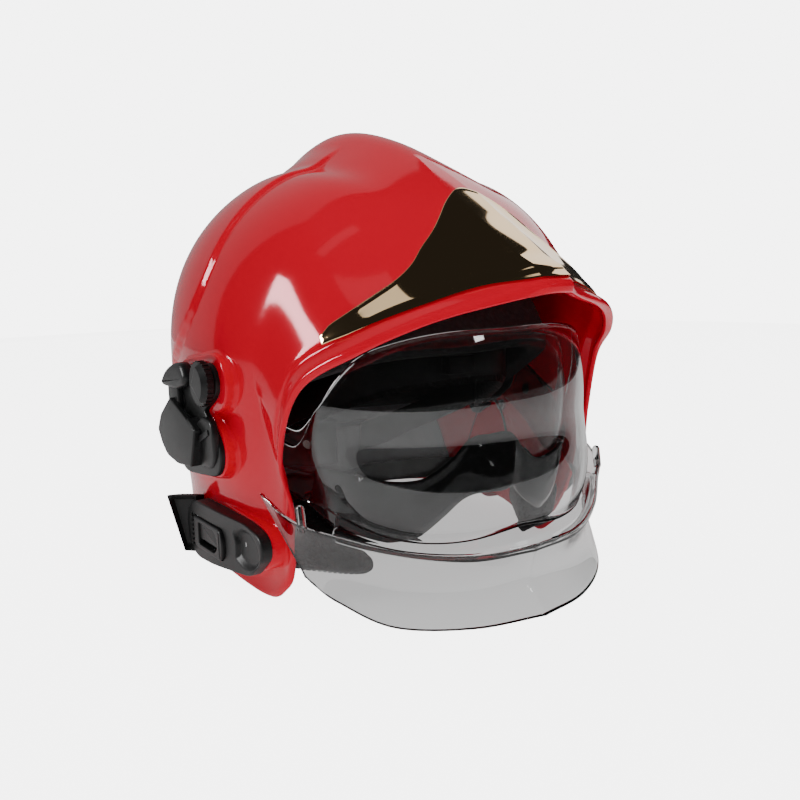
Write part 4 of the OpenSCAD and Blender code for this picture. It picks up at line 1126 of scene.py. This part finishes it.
small_foot = lobes([[(-25, 7.5, 12.2), (11, 3, 11.5)], LAMP_SEAT[1]], LAMP_MIDDLE, -1.2)
keep(block_set("lamp_base_moulded", [
    block(small_foot, LAMP_X - 0.2, LAMP_X + 3, 1.1),
    block(cornered([(-12.6, -41.6), (8, -43.5), (24, -41), (32, -35), (34, -31.0), (-16, -31.0)],
                   (2, 3, 3, 2, 1, 1)), BASE_X, 130.2, 1.2),
    block(cornered([(15, -5), (31, -17), (37, -27), (33.8, -31.8), (31.5, -35), (24, -41), (8, -43.5),
                    (-12.6, -41.6), (-16, -31.8), (-20.4, -19)], (1.2, 2, 2, 1, 1, 3, 3, 2, 3, 2)),
          128.2, 131.4, 1.0),
    block(cornered([(-20.4, -19), (-9, -13.6), (-9, -31.8), (-16, -31.8)], 0.9), BASE_X, 131.0, 0.9),
    block(cornered([(-15, -15.5), (-22, -11.5), (-34, -12.5), (-36.5, -20), (-35, -32), (-28, -41),
                    (-12, -42.5), (-12, -31.6)], (1, 2.5, 3, 3, 4, 5, 2, 1)), BASE_X, 127.5, 1.6,
          top=lambda y, z: 127.5 - 0.14 * max(0.0, -z - 24)),
    block(cornered([(-30.5, -17.4), (-31.8, -20.4), (-18.2, -26.6), (-17.0, -23.6)], 0.8), 127.0, 128.1, 0.4),
], -1), "black_satin", "lamp_base")
keep(block_set("lamp_arm_moulded", [
    block(lobes([[(16, -22, 8), (17, 2, 7.5)]], (16.5, -10)), ARM_X, 128.3, 1.2, foot=0.6),
    block(cornered([(-4, 17), (6, 16.5), (16, 13.5), (24, 9), (29, 3.5), (27, 0.5), (8, 0.5), (-6, 4),
                    (-9.5, 9)], (4, 5, 5, 5, 4, 2, 4, 3, 4)), ARM_X, 131.2, 3.0, foot=0.6),
], -1, 40.0), "black_satin", "lamp_arm", body="lamp_arm")

# The knob's face is a ring of levels, cut down by two slanted flats that meet in a V.
KNOB_N = 144
KNOB_FLATS = np.radians((35, 125))
knob_turn = np.linspace(0, 2 * np.pi, KNOB_N, endpoint=False)
knob_lines = [(KNOB_R - 2.2, 0.0), (KNOB_R - 1.3, 0.35), (KNOB_R - 1.2, 0.7), (KNOB_R - 1.2, 4.4),
              (KNOB_R - 1.6, 4.9)]
knob_lines += [(KNOB_R - 1.6 - 1.7 * u, 4.9 + 2.3 * u) for u in (0.3, 0.6, 0.9, 1.0)]
knob_lines += [(r, 7.25) for r in (9.6, 9.0, 8.2, 7.4, 6.6, 5.8, 5.0, 4.0, 3.0, 2.0, 1.0)]
knob_points = []
for r, h in knob_lines:
    y = r * np.cos(knob_turn)
    z = r * np.sin(knob_turn)
    high = np.full(KNOB_N, h)
    if h > KNOB_TOP:
        for lean in KNOB_FLATS:
            away = y * np.sin(lean) - z * np.cos(lean) - 3.4
            high = np.minimum(high, np.maximum(h - np.minimum(2.4, np.maximum(0, away) * 0.75), KNOB_TOP))
    knob_points.append(np.stack([ARM_X + high, KNOB_AT[0] + y, KNOB_AT[1] + z], -1))
knob = block_set("lamp_knob_moulded", [(np.vstack(knob_points), capped(len(knob_lines), KNOB_N))], -1, 28.0)

rib_tree = geometry_tree("rib_ring", Count=26, Radius=0.0125, Size=None, Material=None)
node(rib_tree, "hoop", "GeometryNodeMeshCircle")
node(rib_tree, "rib", "GeometryNodeMeshCube")
node(rib_tree, "at", "GeometryNodeInputPosition")
node(rib_tree, "faced", "FunctionNodeAlignRotationToVector", axis="X")
node(rib_tree, "set_up", "GeometryNodeInstanceOnPoints")
wire(rib_tree, "into.Count hoop.Vertices  into.Radius hoop.Radius  into.Size rib.Size  at.0 faced.Vector "
               "hoop.Mesh set_up.Points  rib.Mesh set_up.Instance  faced.0 set_up.Rotation")
finish_tree(rib_tree, "set_up.0")


def ribbed(name, count, radius, size, middle, axis):
    """Ring of ribs round an axis through a drawing point; sizes in mm."""
    made = grown(name, bpy.data.meshes.new(name + "_seed"), rib_tree, Count=count, Radius=radius / 1000,
                 Size=tuple(s / 1000 for s in size), Material=black_satin)
    turn = Vector((0, 0, 1)).rotation_difference(Vector(axis)).to_matrix().to_4x4()
    made.data.transform(Matrix.Translation(framed(middle)) @ turn)
    modify(made, "BEVEL", width=0.00018, segments=2, harden_normals=True)
    mesh = solved(made)
    made.modifiers.clear()
    made.data = mesh
    return made


knob_ribs = ribbed("knob_ribs", 26, KNOB_R - 1.3, (1.3, 1.15, 3.9), (-ARM_X - 2.55, *KNOB_AT), (-1, 0, 0))
keep(joined(knob, knob_ribs), "black_satin", "lamp_knob", body="lamp_knob")
for part, at, profile in (
        ("lamp_bolt", KNOB_AT, [(2.2, 0.2), (2.5, 0.5), (2.5, 8.0), (2.2, 8.3)]),
        ("lamp_pin", LAMP_PIN, [(2.2, 0.2), (2.5, 0.5), (2.5, 9.9), (2.1, 10.2)])):
    keep(placed(part + "_steel", lathed(profile), [((-LAMP_X, *at), (-1, 0, 0))], steel), "steel", part)
cap = block(lobes(LAMP_SEAT, LAMP_MIDDLE, -2.5), LAMP_X - 0.1, LAMP_X + 5.5, 2.2)
keep(block_set("blank_cap_red", [cap], 1, material=red_gloss), "red_gloss", "blank_cap")


# The mask anchors, one low on each side: a base with a crescent finger recess, a flared
# guide for the strap hook at its rear, and a sprung latch with a window.
ANCHOR_N = 220
ANCHOR_MIDDLE = np.array([-30.0, -82.0])
anchor_edge = lobes([[(-66, -78, 9), (-52, -82, 15), (-12, -84.5, 17), (6, -85, 17.5)]], ANCHOR_MIDDLE,
                    0.0, ANCHOR_N)


def anchor_top(y, z):
    """Outer face of an anchor base, with the crescent recess sunk in."""
    flat = 119.6 + 2.4 * smooth((y + 62) / 52)
    bowl = smooth((1 - np.hypot((y + 55) / 17.5, (z + 81.5) / 12.0)) * 3.0)
    around = smooth((np.hypot(y + 33, z + 83.5) - 10.5) / 2.0)
    return flat - 2.6 * bowl * around


def anchor_base():
    """Points and faces of an anchor base as a dense height field with a rounded rim."""
    turns = np.linspace(0.3, np.pi / 2, 6)
    shares = np.concatenate([[1.0, 1.0], 1 - 0.045 * (1 - np.cos(turns)), np.linspace(0.94, 0.02, 60)])
    deep = np.concatenate([[9.0, 1.8], 1.8 * (1 - np.sin(turns)), np.zeros(60)])
    points = []
    for share, low in zip(shares, deep):
        y, z = (ANCHOR_MIDDLE + (anchor_edge - ANCHOR_MIDDLE) * share).T
        x = ANCHOR_X if low > 8 else anchor_top(y, z) - low
        points.append(np.stack([0 * y + x, y, z], -1))
    return np.vstack(points), capped(len(shares), ANCHOR_N)


def bilinear(top, low, u, v):
    """Net between two edges, each given by its first and last point."""
    top, low = np.array(top), np.array(low)
    return (top[0] * (1 - u) + top[1] * u) * (1 - v) + (low[0] * (1 - u) + low[1] * u) * v


def funnel_shell():
    """Flared guide: a wedge whose slanted front is dished, with a thin rim round the dish."""
    u = np.linspace(0, 1, 17)[None, :, None]
    v = np.linspace(0, 1, 25)[:, None, None]
    front = bilinear([[118.8, 14.5, -66.8], [131.6, 27.5, -67.6]],
                     [[117.8, 12.5, -101.5], [126.0, 18.0, -100.4]], u, v)
    inset = smooth(u / 0.12) * smooth((1 - u) / 0.14) * smooth(v / 0.07) * smooth((1 - v) / 0.07)
    back = bilinear([[ANCHOR_X, 15.0, -66.8], [129.6, 29.3, -67.6]],
                    [[ANCHOR_X, 13.0, -101.5], [124.2, 20.5, -100.4]], u, v)
    bowed = np.array([0, 3.0, 0]) * np.sin(np.pi * u) * (1 - 0.4 * v)
    return front + np.array([-2.2, 2.2, 0]) * inset, back + bowed


def merged(name, operation, crease, first, *others):
    """Exact boolean of a piece with other solids, under a new name."""
    for other in others:
        modify(first, "BOOLEAN", operation=operation, solver="EXACT", object=other)
    mesh = solved(first)
    mesh.name = name
    while len(mesh.materials) > 1:
        mesh.materials.pop(index=len(mesh.materials) - 1)
    mesh.set_sharp_from_angle(angle=math.radians(crease))
    for old in (first, *others):
        bpy.data.objects.remove(old)
    return shown(name, mesh)


latch_out = cornered([(8.6, -95.0), (8.6, -76.5), (-28.0, -76.5), (-31.0, -82.0), (-31.0, -90.5),
                      (-28.0, -95.0)], (2.2, 2.2, 7.0, 5.0, 5.0, 7.0), 7)
latch_bed = cornered([(13.4, -95.6), (13.4, -75.9), (-28.6, -75.9), (-31.8, -81.8), (-31.8, -90.7),
                      (-28.6, -95.6)], (1.0, 1.0, 7.0, 5.0, 5.0, 7.0), 7)
latch_in = cornered([(2.0, -92.4), (2.0, -79.2), (-20.5, -79.2), (-24.5, -83.4), (-24.5, -88.4),
                     (-20.5, -92.4)], (1.2, 1.2, 4.0, 3.0, 3.0, 4.0), 7)
teeth = [block(oblong(y, z, y + 1.5, z + 1.5, 0.25, 3), 119.0, 122.6, 0.3)
         for z in np.arange(-94.0, -77.0, 2.9) for y in (10.6, 13.0)]
teeth.append(block(oblong(9.8, -96.4, 16.4, -75.2, 0.8), 117.8, 122.3, 0.5,
                   hole=oblong(10.5, -95.7, 15.7, -75.9, 0.5)))
latch_blocks = [block(latch_out, 119.3, 123.4, 0.9, hole=latch_in, foot=0.3),
                block(oblong(-24.6, -89.2, 2.2, -79.0, 0.6), 119.5, 122.2, 0.6),
                block(oblong(-27.8, -93.4, -26.4, -78.4, 0.4), 122.8, 123.7, 0.3)]
for side, end in ((1, "left"), (-1, "right")):
    base = block_set("base_form", [anchor_base()], side, 38.0)
    bed = block_set("bed_form", [block(latch_bed, 116.0, 126.0, 0.1)], side)
    keep(merged(f"anchor_{end}_moulded", "DIFFERENCE", 38.0, base, bed), "black_satin", "anchor_" + end)
    dish, dish_back = (net * [side, 1, 1] for net in funnel_shell())
    keep(rounded_slab(f"funnel_{end}_moulded", dish, dish_back, black_satin, 0.5, 38.0),
         "black_satin", "funnel_" + end)
    keep(block_set("teeth_" + end, teeth, side))
    keep(block_set(f"latch_{end}_moulded", latch_blocks, side), "black_satin", "latch_" + end,
         body="latch_" + end)
latch_pin = lathed([(1.2, 0), (1.5, 0.3), (1.5, 23.7), (1.2, 24)])
spots = [((side * 120.0, 7, -98), (0, 0, 1)) for side in (1, -1)]
keep(placed("latch_pins_steel", latch_pin, spots, steel), "steel", "latch_pins")
softened("latch_springs", "_steel", steel, 0.08)


# The size adjuster at the nape: a housing bolted to the liner, a ribbed dial on an acetal
# pinion, and two toothed racks that pull the head band in and out.
DIAL_AT = (0.0, 104.4, -66.0)
softened("dial_housing", "_moulded", black_satin, 0.5)
dial = lathed([(9.0, 0.0), (12.4, 0.1), (12.8, 0.5), (12.8, 7.2), (12.2, 7.8), (11.4, 8.0), (10.6, 7.7),
               (9.8, 7.2), (4.0, 7.0)], 0.0, 96)
dial = placed("dial_knob_moulded", dial, [(DIAL_AT, (0, 1, 0))], black_satin)
dial_ribs = ribbed("dial_ribs", 32, 12.9, (1.9, 1.1, 6.2), np.add(DIAL_AT, (0, 4.0, 0)), (0, 1, 0))
keep(joined(dial, dial_ribs), "black_satin", "dial_knob", body="dial")
softened("dial_pinion", "_acetal", acetal, 0.15, "dial")
for part in ("rack_left", "rack_right"):
    softened(part, "_moulded", black_satin, 0.15, part)


# The chin strap: two lengths of webbing stowed round the inside of the nape, sewn back on
# themselves, with a nylon buckle and a steel rivet plate at each end.
STRAP_PATH = np.array([[98.5, 28, -88], [97.8, 40, -88], [95, 56, -90], [82, 82, -95], [58, 99, -99],
                       [34, 106, -101], [16, 108, -101.5]], float)
STRAP_W = 17.0
SEAM_Z = 6.8


def strap_point(u, z, off, side):
    """Point of a chin strap: u along its path, z across it and a depth."""
    u, z, off = np.broadcast_arrays(u, z, off)
    p = open_path(STRAP_PATH, u)
    inward = unit((p - [0, 20, 0]) * [1, 1, 0])
    return (p - inward * off[..., None] + np.stack([0 * z, 0 * z, z], -1)) * [side, 1, 1]


strap_u = np.linspace(0, 6, 150)
strap_z = np.linspace(-STRAP_W / 2, STRAP_W / 2, 13)[:, None]
for side, part in ((1, "strap_left"), (-1, "strap_right")):
    nets = [strap_point(strap_u, strap_z, depth, side) for depth in (0.1, 1.6)]
    keep(laid_flat(rounded_slab(part + "_webbing", *nets, webbing, 0.35), nets), "webbing", part)
    lines = [framed(strap_point(np.linspace(1.5, 2.6, 30), z, 1.75, side)) for z in (-SEAM_Z, SEAM_Z)]
    keep(stitched(part + "_stitches", lines, False, 0.00028))
softened("strap_buckle", "_moulded", black_satin, 0.6)
softened("strap_plates", "_steel", steel, 0.2)


# The face shield: clear polycarbonate sheet on two hinge discs inside the shell, with a
# ledge and a flared skirt moulded under it. Its cut edges are flame polished.
FACE_A = 110.3
FACE_R = 137.0
FACE_T = 2.5
FACE_FLAT = 0.8333
EYE_A = 106.5
EYE_R = 113.0
EYE_T = 2.0
EYE_FLAT = 0.7143
FACE_TOP = [[0, 20], [70, 20], [84, 15], [94, 4], [101, -9], [112, -9]]
FACE_LOW = [[0, -22.8], [34, -25], [66, -27], [92, -28.6], [100, -36], [112, -36]]
EYE_TOP = [[0, 21], [62, 21], [75, 18.5], [84, 12], [91, 2], [97, -5], [112, -5]]
EYE_LOW = [[0, 3], [6, 2], [11, -3], [17, -12], [28, -17.5], [45, -19.5], [62, -19.5], [80, -18],
           [97, -22], [112, -22]]


def hooped(t, half, flat):
    """Sideways place and share of the full radius, for an angle across a shield."""
    across = np.sin(np.radians(t))
    return half * np.sign(across) * np.abs(across) ** flat, np.abs(np.cos(np.radians(t))) ** flat


def round_hinge(x, r, f):
    """Point at radius r and angle f round the hinge line."""
    return np.stack([x, HINGE[0] - r * np.cos(np.radians(f)), HINGE[1] + r * np.sin(np.radians(f))], -1)


def face_point(t, f, off):
    """Point of the face shield for an angle across, an angle up and a depth."""
    t, f, off = np.broadcast_arrays(t, f, off)
    x, share = hooped(t, FACE_A - off, FACE_FLAT)
    w = 1 - smooth((np.abs(x) - 78) / 18)
    return round_hinge(x, (FACE_R + 15 * smooth((-f - 2) / 22) * w - off) * share, f)


def eye_point(t, f, off):
    """Point of the eye shield for an angle across, an angle up and a depth."""
    t, f, off = np.broadcast_arrays(t, f, off)
    x, share = hooped(t, EYE_A - off, EYE_FLAT)
    return round_hinge(x, (EYE_R - off) * share, f)


# Each shield's edges and arms: surface, lower and upper edge angles, the arm's angle and half
# width, and where across the shield it narrows into the arm.
FACE = (face_point, FACE_LOW, FACE_TOP, -25.0, 17, 94, 102)
EYE = (eye_point, EYE_LOW, EYE_TOP, -14.0, 11, 92, 99)


def shield_edge(shield, angles, upper):
    """Angle of a shield's lower or upper edge, which narrows into its arm near the hinge."""
    surface, low, top, middle, half_width, x0, x1 = shield
    base = surface(angles, middle, 0.0)
    x = np.abs(base[:, 0])
    r = np.hypot(base[:, 1] - HINGE[0], base[:, 2] - HINGE[1])
    w = smooth((x - x0) / (x1 - x0))
    reach = np.degrees(np.arcsin(np.minimum(0.93, half_width / np.maximum(r, 1))))
    return eased(top if upper else low, x) * (1 - w) + (middle + (reach if upper else -reach)) * w


def shield_lens(name, shield, angles, rows, thick, material, bulge):
    """Lens of a shield between its two edge curves."""
    lo = shield_edge(shield, angles, False)
    f = lo + (shield_edge(shield, angles, True) - lo) * np.linspace(0, 1, rows)[:, None]
    nets = [shield[0](angles[None, :], f, off) for off in (0.0, thick)]
    return rounded_slab(name, *nets, material, bulge)


face_angles = np.concatenate([np.linspace(-86, -40, 40), np.linspace(-39, 39, 79), np.linspace(40, 86, 40)])
face_lens = shield_lens("face_lens", FACE, face_angles, 36, FACE_T, clear_lens, 0.8)

SKIRT_TOP = np.array([[0, -157, -77], [36, -150.5, -77], [68, -133, -73.5], [94, -111, -65.5],
                      [110.5, -95.5, -58.5], [117.5, -72, -47]], float)
SKIRT_LOW = np.array([[0, -164.5, -112.5], [39, -153, -113.8], [74, -131.5, -111.5],
                      [93, -108, -101], [100, -96, -94], [103, -91, -90]], float)


def skirt_point(s, v, off):
    """Point of the skirt: s from the wearer's right ear to the left, v from top to hem."""
    s, v, off = np.broadcast_arrays(s, v, off)
    p = open_path(SKIRT_TOP, np.abs(s) * 5) * (1 - v)[..., None]
    p = p + open_path(SKIRT_LOW, np.abs(s) * 5) * v[..., None]
    m = unit((p + [0, 20, 0]) * [1.25, 1, 0])
    p = p - m * (off + 8.5 * np.sin(np.pi * v) * (1 - s * s))[..., None]
    return np.where(s[..., None] < 0, p * [-1, 1, 1], p)


skirt_s = np.linspace(-1, 1, 121)[None]
skirt_v = np.linspace(0, 1, 22)[:, None]
skirt = rounded_slab("face_skirt", skirt_point(skirt_s, skirt_v, 0.0), skirt_point(skirt_s, skirt_v, FACE_T),
                     clear_lens, 0.9)
ledge_s = np.linspace(-1, 1, 101)
ledge_t = ledge_s * 48
ledge_in = face_point(ledge_t, shield_edge(FACE, ledge_t, False) + 0.6, 0.8)
ledge_out = skirt_point(ledge_s * 0.62, 0.02, 1.2)
across = np.linspace(0, 1, 8)[:, None, None]
ledge_mid = ledge_in[None] * across + ledge_out[None] * (1 - across)
ledge_half = [0, 0, 1.2] + np.array([0, 0, 1.1]) * smooth(1 - across * 3.5)
ledge = rounded_slab("face_ledge", ledge_mid + ledge_half, ledge_mid - ledge_half, clear_lens, 1.2)
face_shield = merged("face_shield_clear", "UNION", 35.0, face_lens, skirt, ledge)
keep(face_shield, "clear", "face_shield", body="face_shield")


# The edge stops: two small clear pegs welded to the ends of the ledge beside the shell rim.
peg = lathed([(0.02, -2.4), (0.9, -2.2), (1.7, -1.7), (2.2, -0.9), (2.4, 0.0), (2.4, 10.3), (2.2, 11.2),
              (1.7, 12.0), (0.9, 12.5), (0.02, 12.7)])
spots = [((side * 107.2, -96.0, -51.0), (0, -0.148, -0.989)) for side in (1, -1)]
keep(placed("edge_stops_clear", peg, spots, clear_lens), "clear", "edge_stops", body="face_shield")


# The eye shield: thinner clear lens on the same hinges, arched over the nose, and the
# gloss black nose guard that is riveted to its lower edge.
eye_angles = np.concatenate([np.linspace(-88, -30, 48), np.linspace(-29, 29, 117), np.linspace(30, 88, 48)])
keep(shield_lens("eye_shield_clear", EYE, eye_angles, 34, EYE_T, clear_eye, 0.7), "clear_eye", "eye_shield",
     body="eye_shield")

GUARD_TOP = [[0, -6.5], [14, -7], [24, -12], [40, -17.5], [62, -18.2], [80, -16.5], [96, -17], [112, -17]]
GUARD_LOW = [[0, -19], [12, -19.5], [24, -25], [40, -31], [58, -35.5], [74, -36.5], [88, -33], [95, -27],
             [112, -26]]
GUARD_RISE = [[0, 14.5], [9, 13], [19, 7], [29, 8], [44, 11], [60, 9.5], [70, 7], [80, 3.5], [88, 0.5],
              [112, 0.5]]
GUARD_T = 2.4
GUARD_GAP = 2.9


def guard_point(t, v, off):
    """Point of the nose guard for an angle across, a share up and a depth."""
    t, v, off = np.broadcast_arrays(t, v, off)
    x = np.abs(eye_point(t, 0.0, 0.0)[..., 0])
    f = eased(GUARD_LOW, x) + (eased(GUARD_TOP, x) - eased(GUARD_LOW, x)) * v
    p = eye_point(t, f, off - GUARD_GAP)
    k = eased(GUARD_RISE, np.abs(p[..., 0])) * smooth(1.15 * (1 - v)) ** 0.8
    return p + np.stack([0 * k, -k * np.cos(np.radians(f)), k * np.sin(np.radians(f))], -1)


guard_t = np.concatenate([np.linspace(-50, -14, 46), np.linspace(-13.5, 13.5, 55), np.linspace(14, 50, 46)])
guard_v = np.linspace(0, 1, 30)[:, None]
guard = rounded_slab("nose_guard_black", guard_point(guard_t[None], guard_v, 0.0),
                     guard_point(guard_t[None], guard_v, GUARD_T), black_gloss, 1.0)
keep(guard, "black_gloss", "nose_guard", body="eye_shield")

rivet = lathed([(1.3, -2.6), (1.6, -2.3), (1.6, 2.6), (1.4, 3.1), (0.9, 3.35), (0.3, 3.4)])
spots = []
for x in (-72, -36, 36, 72):
    f = float(eased(EYE_LOW, abs(x))) + 0.9
    t = math.copysign(math.degrees(math.asin((abs(x) / EYE_A) ** (1 / EYE_FLAT))), x)
    spots.append((eye_point(t, f, 0.0), (0, -math.cos(math.radians(f)), math.sin(math.radians(f)))))
keep(placed("guard_rivets_steel", rivet, spots, steel), "steel", "guard_rivets", body="eye_shield")
